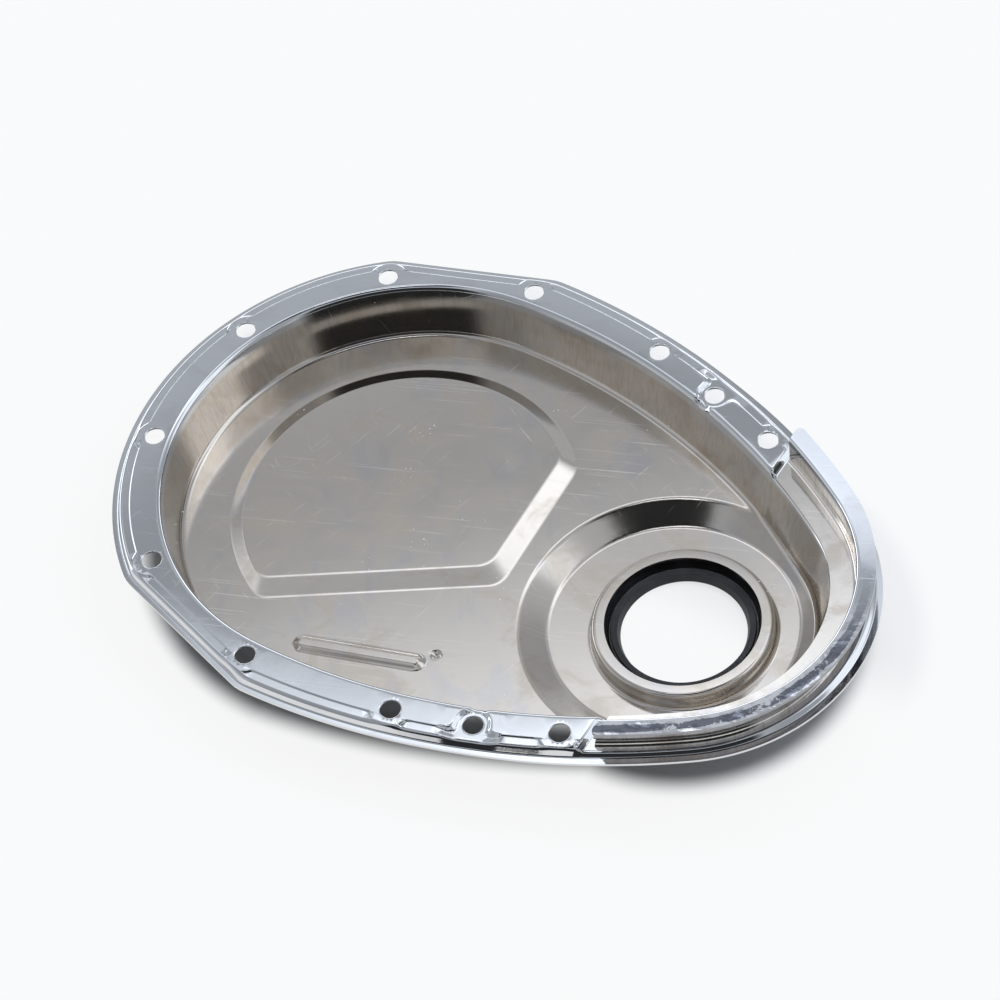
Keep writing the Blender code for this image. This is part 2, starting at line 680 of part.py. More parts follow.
def turned(name, profile, collection, colour, metallic, roughness):
    """Solid of revolution about the crank axis from a closed profile of radius and height."""
    mesh = bmesh.new()
    verts = [mesh.verts.new((radius, 0.0, height)) for radius, height in profile]
    for first, second in zip(verts, verts[1:] + verts[:1]):
        mesh.edges.new((first, second))
    piece = new_object(name, mesh, collection, colour, metallic, roughness)
    screw = piece.modifiers.new("Turned about the crank axis", "SCREW")
    screw.axis = "Z"
    screw.steps = ROUND_STEPS
    screw.render_steps = ROUND_STEPS
    screw.use_merge_vertices = True
    screw.merge_threshold = WELD
    return piece


def make_shell(collection, cutters):
    mesh = bmesh.new()
    add_strips(mesh, lip_and_skirt_loops())
    add_flange(mesh)
    add_strips(mesh, wall_loops())
    add_floor(mesh)
    add_strips(mesh, collar_loops())
    shell = new_object("cover_shell", mesh, collection, CHROME, 1.0, 0.16)
    face_up(shell)
    thicken(shell, SHEET)
    holes = bmesh.new()
    sizes = [(place, BOLT_HOLE_RADIUS) for place in bolt_places()]
    sizes.append((DOWEL, DOWEL_HOLE_RADIUS))
    for place, radius in sizes:
        for side in (1.0, -1.0):
            made = bmesh.ops.create_cone(holes, cap_ends=True, segments=HOLE_STEPS, radius1=radius,
                                         radius2=radius, depth=FLOOR_DEPTH)
            bmesh.ops.translate(holes, verts=made["verts"], vec=(place.x, place.y * side, 0.0))
    cutter = new_object("flange_holes", holes, cutters, None, 0.0, 0.0)
    cutter.hide_render = True
    cutter.display_type = "WIRE"
    cut = shell.modifiers.new("Flange holes", "BOOLEAN")
    cut.operation = "DIFFERENCE"
    cut.solver = "EXACT"
    cut.object = cutter
    smooth(shell, 35.0)
    return [shell, cutter]


def make_channel(collection):
    """Folded strip: a foot on the ledge, a web standing up from it and a flange turned outwards."""
    foot_height = -LEDGE_DROP + SEAT_GAP + CHANNEL_SHEET
    foot_end_x = LEDGE_START_X - LEDGE_RAMP - CHANNEL_END_GAP
    rows = [(WALL_TOP.inset(-CHANNEL_FOOT_OVERHANG), foot_height, 0.0, 0.0)]
    for step in range(FILLET_STEPS + 1):
        angle = math.pi / 2 * step / FILLET_STEPS
        rows.append((LIP.inset(CHANNEL_WEB_INSET + CHANNEL_BEND * (1 - math.sin(angle))),
                     foot_height + CHANNEL_BEND * (1 - math.cos(angle)), 0.0, 0.0))
    for step in range(FILLET_STEPS + 1):
        angle = math.pi / 2 * step / FILLET_STEPS
        rows.append((LIP.inset(CHANNEL_WEB_INSET - CHANNEL_BEND * (1 - math.cos(angle))),
                     CHANNEL_HEIGHT - CHANNEL_BEND * (1 - math.sin(angle)), 1.0, 0.0))
    for step in range(FILLET_STEPS, -1, -1):
        angle = math.pi / 2 * step / FILLET_STEPS
        rows.append((LIP.inset(STRIP_INSET + STRIP_CORNER * (1 - math.cos(angle))), CHANNEL_HEIGHT,
                     1.0, STRIP_CORNER * (1 - math.sin(angle))))
    lines = []
    for egg, height, setback_share, corner in rows:
        ends = [foot_end_x - corner - setback * setback_share
                for setback in (STRIP_SETBACK_PLUS_Y, STRIP_SETBACK_MINUS_Y)]
        plus_side, minus_side = (egg.crank_arc(end_x, CHANNEL_STEPS) for end_x in ends)
        line = plus_side + [Vector((point.x, -point.y)) for point in reversed(minus_side[:-1])]
        lines.append([Vector((point.x, point.y, height)) for point in line])
    mesh = bmesh.new()
    add_strips(mesh, lines, closed=False)
    channel = new_object("pan_seal_channel", mesh, collection, CHROME, 1.0, 0.14)
    face_up(channel)
    thicken(channel, CHANNEL_SHEET)
    smooth(channel, 35.0)
    return channel


def seal_bottom():
    return -FLOOR_DEPTH - BOWL_DEPTH - SHEET + SEAL_CASE_RECESS


def make_seal_case(collection):
    """Drawn cup pressed into the collar from the front: a wall and an inturned web."""
    outer = COLLAR_RADIUS - SHEET - SEAT_GAP
    bottom = seal_bottom()
    top = bottom + SEAL_CASE_HEIGHT
    profile = [(outer, top)]
    for step in range(FILLET_STEPS + 1):
        angle = math.pi / 2 * step / FILLET_STEPS
        profile.append((outer - SEAL_CASE_BEND * (1 - math.cos(angle)),
                        bottom + SEAL_CASE_BEND * (1 - math.sin(angle))))
    profile.append((SEAL_CASE_OPENING_RADIUS, bottom))
    profile.append((SEAL_CASE_OPENING_RADIUS, bottom + SEAL_CASE_SHEET))
    inner = outer - SEAL_CASE_SHEET
    inner_bend = SEAL_CASE_BEND - SEAL_CASE_SHEET
    profile.append((inner - inner_bend, bottom + SEAL_CASE_SHEET))
    profile.append((inner, bottom + SEAL_CASE_BEND))
    profile.append((inner, top))
    return turned("seal_case", profile, collection, SEAL_PAINT, 0.6, 0.45)


def make_seal_lip(collection):
    """Rubber: a lining in the case, a web across its mouth and the head with the sealing edge."""
    outer = COLLAR_RADIUS - SHEET - 2 * SEAT_GAP - SEAL_CASE_SHEET
    bottom = seal_bottom()
    web_bottom = bottom + SEAL_CASE_SHEET + SEAT_GAP
    web_top = web_bottom + SEAL_WEB
    lining_top = bottom + SEAL_CASE_HEIGHT
    neck = SEAL_CASE_OPENING_RADIUS - SEAT_GAP
    corner = SEAL_CASE_BEND - SEAL_CASE_SHEET
    head_top = bottom + LIP_HEAD_HEIGHT
    profile = [(outer, lining_top), (outer, web_bottom + corner), (outer - corner, web_bottom)]
    head_inner = LIP_BORE_RADIUS + LIP_EDGE_WIDTH
    head_outer = head_inner + LIP_HEAD_WIDTH
    profile += [(neck, web_bottom), (neck, bottom), (LIP_BORE_RADIUS + LIP_MOUTH_WIDTH, bottom)]
    profile += [(LIP_BORE_RADIUS, bottom + LIP_EDGE_HEIGHT)]
    profile += [(head_inner, head_top - LIP_HEAD_FALL), (head_outer, head_top)]
    groove = SPRING_WIRE_RADIUS + SEAT_GAP
    mouth = math.acos(-SPRING_STAND_OFF / groove)
    for step in range(SPRING_GROOVE_STEPS + 1):
        angle = mouth + (2 * math.pi - 2 * mouth) * step / SPRING_GROOVE_STEPS
        profile.append((SPRING_RING_RADIUS + groove * math.cos(angle),
                        spring_height() + groove * math.sin(angle)))
    profile += [(head_outer, web_top), (outer - SEAL_LINING, web_top)]
    profile += [(outer - SEAL_LINING, lining_top)]
    return turned("seal_lip", profile, collection, SEAL_RUBBER, 0.0, 0.55)


def spring_height():
    """The garter spring rests in its groove, just clear of the rubber web below it."""
    web_top = seal_bottom() + SEAL_CASE_SHEET + SEAT_GAP + SEAL_WEB
    return web_top + SPRING_WIRE_RADIUS + SEAT_GAP


def make_spring(collection):
    section = [(SPRING_RING_RADIUS + SPRING_WIRE_RADIUS * math.cos(angle),
                spring_height() - SPRING_WIRE_RADIUS * math.sin(angle))
               for angle in even_steps(0.0, 2 * math.pi, 8)]
    return turned("garter_spring", section, collection, SPRING_STEEL, 1.0, 0.35)


def main():
    for old in list(bpy.data.objects):
        bpy.data.objects.remove(old, do_unlink=True)
    collection = bpy.data.collections.new("timing_cover")
    cutters = bpy.data.collections.new("timing_cover_cutters")
    bpy.context.scene.collection.children.link(collection)
    bpy.context.scene.collection.children.link(cutters)
    pieces = make_shell(collection, cutters)
    pieces.append(make_channel(collection))
    pieces.append(make_seal_case(collection))
    pieces.append(make_seal_lip(collection))
    pieces.append(make_spring(collection))
    stand = bpy.data.objects.new("timing_cover_stand", None)
    collection.objects.link(stand)
    middle_x = (CAM_TO_CRANK + LIP_CAM_RADIUS - LIP_CRANK_RADIUS - LIP_FLARE) / 2
    stand.location = (-middle_x, 0.0, FLOOR_DEPTH + BOWL_DEPTH + SHEET)
    for piece in pieces:
        piece.parent = stand
    bpy.context.view_layer.update()


main()
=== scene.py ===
"""Looks of the timing cover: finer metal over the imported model, its finishes, a floor and light.

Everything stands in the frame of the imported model: +X runs from the crank axis to the cam axis,
and +Z points out of the open engine side. Heights in the sections are from the mating face.
"""
import math

import bmesh
import bpy
from mathutils import Matrix, Vector
from mathutils.geometry import delaunay_2d_cdt


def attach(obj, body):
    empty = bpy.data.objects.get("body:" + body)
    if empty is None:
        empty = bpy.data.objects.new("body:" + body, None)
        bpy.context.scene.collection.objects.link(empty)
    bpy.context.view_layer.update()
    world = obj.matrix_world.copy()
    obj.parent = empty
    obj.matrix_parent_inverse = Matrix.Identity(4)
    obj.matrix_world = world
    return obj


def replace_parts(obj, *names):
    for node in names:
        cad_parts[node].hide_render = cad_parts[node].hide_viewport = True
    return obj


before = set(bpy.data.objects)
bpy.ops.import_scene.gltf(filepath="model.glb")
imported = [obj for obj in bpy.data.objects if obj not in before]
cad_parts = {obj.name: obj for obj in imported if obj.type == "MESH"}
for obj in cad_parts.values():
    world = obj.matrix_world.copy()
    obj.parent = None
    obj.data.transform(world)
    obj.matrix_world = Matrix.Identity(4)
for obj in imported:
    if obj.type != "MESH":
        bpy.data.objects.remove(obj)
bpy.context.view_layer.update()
MM = 0.001


# The camera looks down into the open side from beyond the +Y flank, past the seal end.
# Its place and lens come from the cover's own outlines and hole centres in the picture.
CRANK_X = -85.43 * MM
MATING_FACE_Z = 31.2 * MM
camera_data = bpy.data.cameras.new("camera")
camera_data.sensor_width = 36.0
camera_data.lens = 104.0
camera = bpy.data.objects.new("camera", camera_data)
bpy.context.scene.collection.objects.link(camera)
right = Vector((-0.8364, -0.5345, -0.1217))
down = Vector((-0.3559, 0.6982, -0.6211))
ahead = Vector((0.4170, -0.4762, -0.7742))
camera.matrix_world = Matrix((right, -down, -ahead)).transposed().to_4x4()
camera.location = Vector((-393.0, 541.0, 886.6)) * MM + Vector((CRANK_X, 0.0, MATING_FACE_Z))
camera_data.clip_start = 0.1
camera_data.clip_end = 30.0
bpy.context.scene.camera = camera
bpy.context.scene.view_settings.view_transform = "Standard"


# The studio is a white sheet of paper under even white light, with pale, grey and black cards hung
# round it for the plating to mirror. A card is a patch of sky of one tone with a soft edge. Direct
# rays see a white sky, mirrored rays see the cards, and scattered rays only the bright ones' glow.
class Shade:
    """A socket of one node tree: sums on it add Math nodes, and make() adds any other node."""

    def __init__(self, tree, socket=None):
        self.tree = tree
        self.socket = socket

    def make(self, kind, settings, sockets, output=0):
        node = self.tree.nodes.new(kind)
        for name, value in settings.items():
            setattr(node, name, value)
        for name, value in sockets.items():
            if isinstance(value, Shade):
                self.tree.links.new(value.socket, node.inputs[name])
            else:
                node.inputs[name].default_value = value
        return Shade(self.tree, node.outputs[output] if len(node.outputs) else None)

    def sum(self, operation, first, second):
        return self.make("ShaderNodeMath", {"operation": operation}, {0: first, 1: second})

    def __add__(self, other):
        return self.sum("ADD", self, other)

    def __radd__(self, other):
        return self.sum("ADD", other, self)

    def __sub__(self, other):
        return self.sum("SUBTRACT", self, other)

    def __rsub__(self, other):
        return self.sum("SUBTRACT", other, self)

    def __mul__(self, other):
        return self.sum("MULTIPLY", self, other)

    def __rmul__(self, other):
        return self.sum("MULTIPLY", other, self)

    def root(self):
        return self.make("ShaderNodeMath", {"operation": "SQRT"}, {0: self})

    def fade(self, start, end):
        """0 where the value is start and 1 where it is end, eased between them."""
        return self.make("ShaderNodeMapRange", {"interpolation_type": "SMOOTHSTEP"},
                         {"Value": self, "From Min": start, "From Max": end})

    def mix(self, first, second):
        """Blend of two colours, with this value as the share of the second."""
        return self.make("ShaderNodeMix", {"data_type": "RGBA"}, {0: self, 6: first, 7: second}, 2)


def blank_material(name):
    """A new material without nodes, and its tree to build on."""
    material = bpy.data.materials.new(name)
    material.use_nodes = True
    material.node_tree.nodes.clear()
    return material, Shade(material.node_tree)


def heading(azimuth, elevation):
    """Direction at an azimuth from +X towards +Y and an elevation, both in degrees."""
    across = math.cos(math.radians(elevation))
    return Vector((across * math.cos(math.radians(azimuth)),
                   across * math.sin(math.radians(azimuth)), math.sin(math.radians(elevation))))


studio = bpy.data.worlds.new("studio")
studio.use_nodes = True
studio.node_tree.nodes.clear()
bpy.context.scene.world = studio
sky = Shade(studio.node_tree)
toward = sky.make("ShaderNodeTexCoord", {}, {}, "Generated")
around = sky.make("ShaderNodeVectorMath", {"operation": "MULTIPLY"}, {0: toward, 1: (1.0, 1.0, 0.0)})
around = sky.make("ShaderNodeVectorMath", {"operation": "NORMALIZE"}, {0: around})
height = sky.make("ShaderNodeSeparateXYZ", {}, {"Vector": toward}, "Z")
COOL = Vector((0.93, 0.985, 1.07))
WHITE = (1.0, 1.0, 1.0, 1.0)


def tint(tone):
    """A tone of the studio's slightly cool light."""
    return (*(COOL * tone), 1.0)


def card(light, tone, azimuth, half_width, low, high, edge):
    """Hangs a soft-edged card of one tone in the sky, between two elevations, in degrees."""
    turned_to = sky.make("ShaderNodeVectorMath", {"operation": "DOT_PRODUCT"},
                         {0: around, 1: heading(azimuth, 0.0)}, "Value")
    inner, outer = math.cos(math.radians(half_width - edge)), math.cos(math.radians(half_width + edge))
    bottom = height.fade(math.sin(math.radians(low - edge)), math.sin(math.radians(low + edge)))
    top = height.fade(math.sin(math.radians(min(high + edge, 90.0))), math.sin(math.radians(high - edge)))
    share = turned_to.fade(outer, inner) * bottom * top
    return share.mix(light, tint(tone))


# Tone, azimuth, half width, lower and upper elevation and soft edge of each card, angles in degrees.
CARDS = (
    (0.55, -48.0, 32.0, 34.0, 48.4, 1.2),  # low behind the far flank, for the far flange
    (0.38, -48.0, 32.0, 48.4, 52.4, 1.2),  # above it and darker, for the floor and the near flange
    (2.40, -45.0, 65.0, 0.0, 13.0, 2.5),  # along the horizon, for the edges that lean away
    (0.42, -100.0, 18.0, 8.0, 42.0, 5.0),  # for the bowl's left slope
    (0.34, -20.0, 18.0, 18.0, 36.0, 5.0),  # for the far slopes
    (0.40, 30.0, 34.0, 36.0, 70.0, 5.0),  # for the wall at the crank end
    (1.05, -14.0, 8.0, 43.0, 58.0, 4.0),  # a narrow bright one, for the right of the wall
    (0.55, -40.0, 24.0, 62.0, 72.0, 3.0),  # for the near slopes of the field
    (0.88, -76.0, 50.0, 52.1, 62.0, 1.1),  # for the near floor and flange
    (1.95, -82.0, 44.0, 56.0, 61.0, 3.0),  # brighter in its middle
    (1.25, -144.0, 19.0, -30.0, 62.0, 5.0),  # a tall bright one, for the left of the wall
    (0.42, 179.0, 15.0, -30.0, 66.0, 4.0),  # its darker neighbour
    (0.36, 73.0, 12.0, -30.0, 60.0, 5.0),  # for the wall's corner
    (0.03, 120.0, 38.0, -88.0, 89.0, 5.0),  # black, on the camera's side, for the far wall
    (0.62, 112.0, 48.0, 53.0, 67.0, 3.0),  # a pale strip in it, for the floor below the far wall
    (0.03, 86.0, 28.0, 70.0, 82.0, 2.0),  # black again above the strip, for the bowl's far slope
)
LAMP = (2.6, -32.0, 50.0, 78.5, 84.0, 1.5)
OPEN_SKY_TONE = 0.58
OVERHEAD_TONE = 0.02
OVERHEAD_FROM, OVERHEAD_FULL = 72.0, 75.5
light = tint(OPEN_SKY_TONE)
for entry in CARDS:
    light = card(light, *entry)
overhead = height.fade(math.sin(math.radians(OVERHEAD_FROM)), math.sin(math.radians(OVERHEAD_FULL)))
light = overhead.mix(light, tint(OVERHEAD_TONE))
light = card(light, *LAMP)

# Paper and other dull things get only what the cards give above a plain sky, made stronger.
CARD_GLOW = 0.6
LEAST_GLOW = 0.04
FLOOR_LIGHT_GAIN = 7.0
glowing = sky.make("ShaderNodeVectorMath", {"operation": "SUBTRACT"}, {0: light, 1: (CARD_GLOW,) * 3})
glowing = sky.make("ShaderNodeVectorMath", {"operation": "MAXIMUM"}, {0: glowing, 1: (LEAST_GLOW,) * 3})
glowing = sky.make("ShaderNodeVectorMath", {"operation": "SCALE"}, {0: glowing, "Scale": FLOOR_LIGHT_GAIN})
seen_directly = sky.make("ShaderNodeLightPath", {}, {}, "Is Camera Ray")
scattered = sky.make("ShaderNodeLightPath", {}, {}, "Is Diffuse Ray")
seen = scattered.mix(seen_directly.mix(light, WHITE), glowing)
glow = sky.make("ShaderNodeBackground", {}, {"Color": seen})
sky.make("ShaderNodeOutputWorld", {}, {"Surface": glow})

# The paper glows white for direct, mirrored and transmitted rays. Under the cover's egg shape, but not the
# bore, the glow gives way to the real shade and a painted shadow; beside the -Y flank a faint painted shade
# dims it.
FLOOR_HALF_WIDTH = 4.0
PAPER_TONE = (0.86, 0.86, 0.86, 1.0)
PAINTED_SHADOW_TONE = (0.2, 0.2, 0.2, 1.0)
PAINTED_SHADOW_SHARE = 0.8
PAPER_WHITE_SHARE = 0.88
SHADE_LENGTH = 131.0 * MM
SHADE_CRANK_RADIUS = 71.0 * MM
SHADE_CAM_EXTRA = 40.0 * MM
SHADE_FLANK_EXTRA = 27.0 * MM
SHADE_BLUR = 6.0 * MM
BORE_LIGHT_RADIUS = 36.0 * MM
SIDE_SHADE_REACH = 22.0 * MM
SIDE_SHADE_FULL_Y = -30.0 * MM
SIDE_SHADE = 0.25
sweep_mesh = bmesh.new()
bmesh.ops.create_grid(sweep_mesh, x_segments=1, y_segments=1, size=FLOOR_HALF_WIDTH)
sweep_data = bpy.data.meshes.new("floor")
sweep_mesh.to_mesh(sweep_data)
sweep_mesh.free()
sweep = bpy.data.objects.new("floor", sweep_data)
bpy.context.scene.collection.objects.link(sweep)
paper, sheet = blank_material("white_paper")
lit = sheet.make("ShaderNodeBsdfDiffuse", {}, {"Color": PAPER_TONE})
bright = sheet.make("ShaderNodeEmission", {}, {"Color": WHITE, "Strength": 1.0})
looked_at = sheet.make("ShaderNodeLightPath", {}, {}, "Is Camera Ray")
for ray in ("Is Glossy Ray", "Is Transmission Ray"):
    looked_at = looked_at + sheet.make("ShaderNodeLightPath", {}, {}, ray)
spot = sheet.make("ShaderNodeTexCoord", {}, {}, "Object")
spot_x = sheet.make("ShaderNodeSeparateXYZ", {}, {"Vector": spot}, "X") - CRANK_X
spot_y = sheet.make("ShaderNodeSeparateXYZ", {}, {"Vector": spot}, "Y")
to_cam = sheet.make("ShaderNodeClamp", {}, {"Value": spot_x * (1.0 / SHADE_LENGTH)})
beyond = spot_x - to_cam * SHADE_LENGTH
from_axis = (beyond * beyond + spot_y * spot_y).root()
shade_edge = to_cam * SHADE_CAM_EXTRA + to_cam * (1.0 - to_cam) * SHADE_FLANK_EXTRA + SHADE_CRANK_RADIUS
from_crank = (spot_x * spot_x + spot_y * spot_y).root()
outside = from_axis - shade_edge
round_bore = from_crank.fade(BORE_LIGHT_RADIUS, BORE_LIGHT_RADIUS + SHADE_BLUR)
under = outside.fade(SHADE_BLUR, -SHADE_BLUR) * round_bore
# A faint painted shade beside the -Y flank takes away some of the paper's white glow.
near_edge = outside.fade(SIDE_SHADE_REACH + SHADE_BLUR, SIDE_SHADE_REACH - SHADE_BLUR)
beside = near_edge * spot_y.fade(0.0, SIDE_SHADE_FULL_Y)
white_share = looked_at * (1.0 - under) * (1.0 - beside * SIDE_SHADE) * PAPER_WHITE_SHARE
# A darker paper tone, painted in under the cover as a shadow.
painted_shadow = sheet.make("ShaderNodeBsdfDiffuse", {}, {"Color": PAINTED_SHADOW_TONE})
shaded = sheet.make("ShaderNodeMixShader", {}, {0: under * PAINTED_SHADOW_SHARE, 1: lit, 2: painted_shadow})
blend = sheet.make("ShaderNodeMixShader", {}, {0: white_share, 1: shaded, 2: bright})
sheet.make("ShaderNodeOutputMaterial", {}, {"Surface": blend})
sweep_data.materials.append(paper)


# The shell is one piece of 1.2 mm sheet steel, drawn into a pan with a flat flange and then plated.
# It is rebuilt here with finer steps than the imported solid, because plating mirrors every facet.
# First its outlines, which are arcs round the cam and crank axes joined by a flat arc on each side.
CAM_X = 130.86 * MM
SHELL_SHEET = 1.2 * MM
CORNER_CUT_ANGLE = math.radians(73.0)
CORNER_ROUNDING = 0.9 * MM
BOLT_CIRCLE_RADIUS = 105.2 * MM
BOLT_CIRCLE_ANGLES = (math.radians(18.0), math.radians(53.8), math.radians(89.4))
SIDE_BOLT_PLACES_X = (67.4 * MM, 4.9 * MM)
DOWEL_X = 36.2 * MM
LEDGE_START_X = -3.2 * MM
LEDGE_RAMP = 3.2 * MM
CAM_ARC_STEP = math.radians(1.25)
FLANK_STEP = 2.0 * MM
DOWEL_ZONE = 14.0 * MM
DOWEL_ZONE_STEP = 0.8 * MM
CRANK_ARC_STEPS = 44
CAM_CORNER_STEPS = 6
SAME_PLACE = 0.001 * MM
HALVINGS = 24


def smoothstep(value):
    value = min(max(value, 0.0), 1.0)
    return value * value * (3 - 2 * value)


def smooth_minimum(first, second, rounding):
    """The smaller of two values, rounded off where they are nearly equal."""
    overlap = max(rounding - abs(first - second), 0.0) / rounding
    return min(first, second) - overlap * overlap * rounding / 4


def on_plus_side(point):
    return Vector((point[0], abs(point[1])))


def polar(radius, angle):
    return Vector((radius * math.cos(angle), radius * math.sin(angle)))


def even_steps(first, last, count):
    """Values from first up to but not including last."""
    return [first + (last - first) * step / count for step in range(count)]


def stops_between(marks, spacing_of):
    """Even steps from each mark to the next, at the spacing asked for there."""
    values = []
    for first, last in zip(marks, marks[1:]):
        values += even_steps(first, last, max(1, round(abs(last - first) / spacing_of(first))))
    return values


class Egg:
    """Outline of an arc round the cam axis, one round the crank axis and a wide arc on each flank."""

    def __init__(self, cam_radius, crank_radius, flank_radius, corner_cut=None):
        self.cam_radius = cam_radius
        self.crank_radius = crank_radius
        self.flank_radius = flank_radius
        self.corner_cut = corner_cut
        to_cam = flank_radius - cam_radius
        to_crank = flank_radius - crank_radius
        self.flank_x = (to_crank ** 2 - to_cam ** 2 + CAM_X ** 2) / (2 * CAM_X)
        self.flank_y = -math.sqrt(to_crank ** 2 - self.flank_x ** 2)

    def inset(self, distance):
        """The outline moved inwards, or outwards by a negative distance."""
        cut = None if self.corner_cut is None else self.corner_cut - distance
        return Egg(self.cam_radius - distance, self.crank_radius - distance,
                   self.flank_radius - distance, cut)

    def depth(self, point):
        """How far inside the outline a point lies."""
        place = on_plus_side(point)
        from_flank = place - Vector((self.flank_x, self.flank_y))
        from_cam = place - Vector((CAM_X, 0.0))
        if (CAM_X - self.flank_x) * from_flank.y + self.flank_y * from_flank.x < 0.0:
            inside = self.cam_radius - from_cam.length
        elif -self.flank_x * from_flank.y + self.flank_y * from_flank.x > 0.0:
            inside = self.crank_radius - place.length
        else:
            inside = self.flank_radius - from_flank.length
        if self.corner_cut is not None:
            inside_cut = self.corner_cut - from_cam.dot(polar(1.0, CORNER_CUT_ANGLE))
            inside = smooth_minimum(inside, inside_cut, CORNER_ROUNDING)
        return inside

    def flank_point(self, x):
        """Point of the +Y flank at one X."""
        return Vector((x, self.flank_y + math.sqrt(self.flank_radius ** 2 - (x - self.flank_x) ** 2)))

    def ray_to_flank(self, axis_x, direction):
        """Distance from an axis to the flank's arc, along a direction."""
        centre = Vector((self.flank_x - axis_x, self.flank_y))
        along = centre.dot(direction)
        return along + math.sqrt(self.flank_radius ** 2 - centre.length_squared + along ** 2)

    def cam_point(self, angle):
        direction = polar(1.0, angle)
        reach = self.cam_radius
        if angle > math.atan2(-self.flank_y, CAM_X - self.flank_x):
            reach = self.ray_to_flank(CAM_X, direction)
        facing = math.cos(angle - CORNER_CUT_ANGLE)
        if self.corner_cut is not None and facing > 0.0:
            reach = smooth_minimum(reach, self.corner_cut / facing, CORNER_ROUNDING)
        return Vector((CAM_X, 0.0)) + direction * reach

    def crank_point(self, angle):
        direction = polar(1.0, angle)
        if angle < math.atan2(-self.flank_y, -self.flank_x):
            return direction * self.ray_to_flank(0.0, direction)
        return direction * self.crank_radius

    def crank_arc(self, start_x, steps):
        """Points from the flank at one X to the crank end, even in angle about the crank."""
        first = self.flank_point(start_x)
        start = math.atan2(first.y, first.x)
        return [self.crank_point(start + (math.pi - start) * step / steps)
                for step in range(steps + 1)]

    def half(self):
        """Points from the cam end to the crank end on the +Y side, the same count on any egg."""
        cam_end_x = 115.0 * MM
        crank_end_x = -30.0 * MM
        first = self.flank_point(cam_end_x) - Vector((CAM_X, 0.0))
        marks = (0.0, *BOLT_CIRCLE_ANGLES)
        points = [self.cam_point(angle) for angle in stops_between(marks, lambda start: CAM_ARC_STEP)]
        points += [self.cam_point(angle)
                   for angle in even_steps(BOLT_CIRCLE_ANGLES[-1], math.atan2(first.y, first.x),
                                           CAM_CORNER_STEPS)]
        zone = (DOWEL_X + DOWEL_ZONE, DOWEL_X - DOWEL_ZONE)
        marks = (cam_end_x, SIDE_BOLT_PLACES_X[0], *zone, SIDE_BOLT_PLACES_X[1], LEDGE_START_X,
                 LEDGE_START_X - LEDGE_RAMP, crank_end_x)
        points += [self.flank_point(x) for x in stops_between(
            marks, lambda start: DOWEL_ZONE_STEP if start in (zone[0], LEDGE_START_X) else FLANK_STEP)]
        return points + self.crank_arc(crank_end_x, CRANK_ARC_STEPS)


LIP = Egg(117.73 * MM, 77.2 * MM, 316.7 * MM, 111.9 * MM)
WALL_TOP = Egg(97.2 * MM, 57.4 * MM, 280.0 * MM)
WALL_FOOT = Egg(94.2 * MM, 52.9 * MM, 289.6 * MM)


def mirrored_loop(half):
    """A closed loop from its +Y half, whose two end points lie on the X axis."""
    return half + [Vector((point[0], -point[1])) for point in reversed(half[1:-1])]


def raised(half, height):
    """Closed loop in space from a flat half outline and a height for each of its points."""
    return [Vector((point.x, point.y, height(point))) for point in mirrored_loop(half)]


def circle(centre, radius, steps):
    return [Vector(centre) + polar(radius, angle) for angle in even_steps(0.0, 2 * math.pi, steps)]


def furthest(holds, reach):
    """How far along a reach a test still holds, found by halving."""
    near, far = 0.0, reach
    for _ in range(HALVINGS):
        middle = (near + far) / 2
        if holds(middle):
            near = middle
        else:
            far = middle
    return near


def add_strips(mesh, loops, closed=True):
    """Quads between rows of points that match index by index."""
    rows = [[mesh.verts.new(point) for point in loop] for loop in loops]
    for lower, upper in zip(rows, rows[1:]):
        for index in range(len(lower) if closed else len(lower) - 1):
            after = (index + 1) % len(lower)
            mesh.faces.new((lower[index], lower[after], upper[after], upper[index]))


def add_patch(mesh, closed_lines, open_lines, loose_points, height, keep):
    """Triangulates the ground between lines, and lifts every point to its own height."""
    places = []
    edges = []
    for line, closes in [(line, True) for line in closed_lines] + [(line, False) for line in open_lines]:
        start = len(places)
        places += [Vector((point[0], point[1])) for point in line]
        edges += [(start + index, start + index + 1) for index in range(len(line) - 1)]
        if closes:
            edges.append((len(places) - 1, start))
    places += loose_points
    found = delaunay_2d_cdt(places, edges, [], 0, SAME_PLACE)
    verts = [mesh.verts.new((point[0], point[1], height(point))) for point in found[0]]
    for corners in found[2]:
        if keep(sum((found[0][corner] for corner in corners), Vector((0.0, 0.0))) / len(corners)):
            mesh.faces.new([verts[corner] for corner in corners])


# The rim is the shell's pressed border: a lip, a skirt that climbs to a lower band, a step up to
# the mating face, a raised pad round each bolt hole, and a round recess at each dowel hole.
LIP_WIDTH = 1.6 * MM
LIP_DROP = 3.5 * MM
LIP_FLARE = 0.6 * MM
LIP_FLARE_START_X = 40.0 * MM
SKIRT_SLOPE = math.radians(62.0)
SKIRT_FOOT_RADIUS = 1.0 * MM
SKIRT_TOP_RADIUS = 1.7 * MM
SKIRT_FOOT_STEPS = 5
SKIRT_TOP_STEPS = 7
STEP_INSET = 8.2 * MM
STEP_SPAN = 0.8 * MM
BAND_DROP = 0.5 * MM
PAD_REACH = 7.4 * MM
PAD_BLEND = 1.4 * MM
PAD_NET_REACH = PAD_REACH + PAD_BLEND * 1.2
PAD_NET_RINGS = 6
PAD_NET_SPOKES = 150
PAD_NET_MARGIN = 0.3 * MM
RECESS_RADIUS = 7.4 * MM
RECESS_SLOPE = 1.8 * MM
RECESS_DROP = 1.3 * MM
RECESS_BLEND = 5.0 * MM
RECESS_FADE_START = 8.0 * MM
RECESS_FADE_SPAN = 6.0 * MM
RECESS_NET_RADIUS = 12.5 * MM
RECESS_NET_RINGS = 22
RECESS_NET_SPOKES = 110
LEDGE_DROP = 2.0 * MM
SIDE_BOLT_TO_WALL = 8.8 * MM
DOWEL_TO_WALL = 8.0 * MM
BOLT_HOLE_RADIUS = 4.06 * MM
DOWEL_HOLE_RADIUS = 3.99 * MM
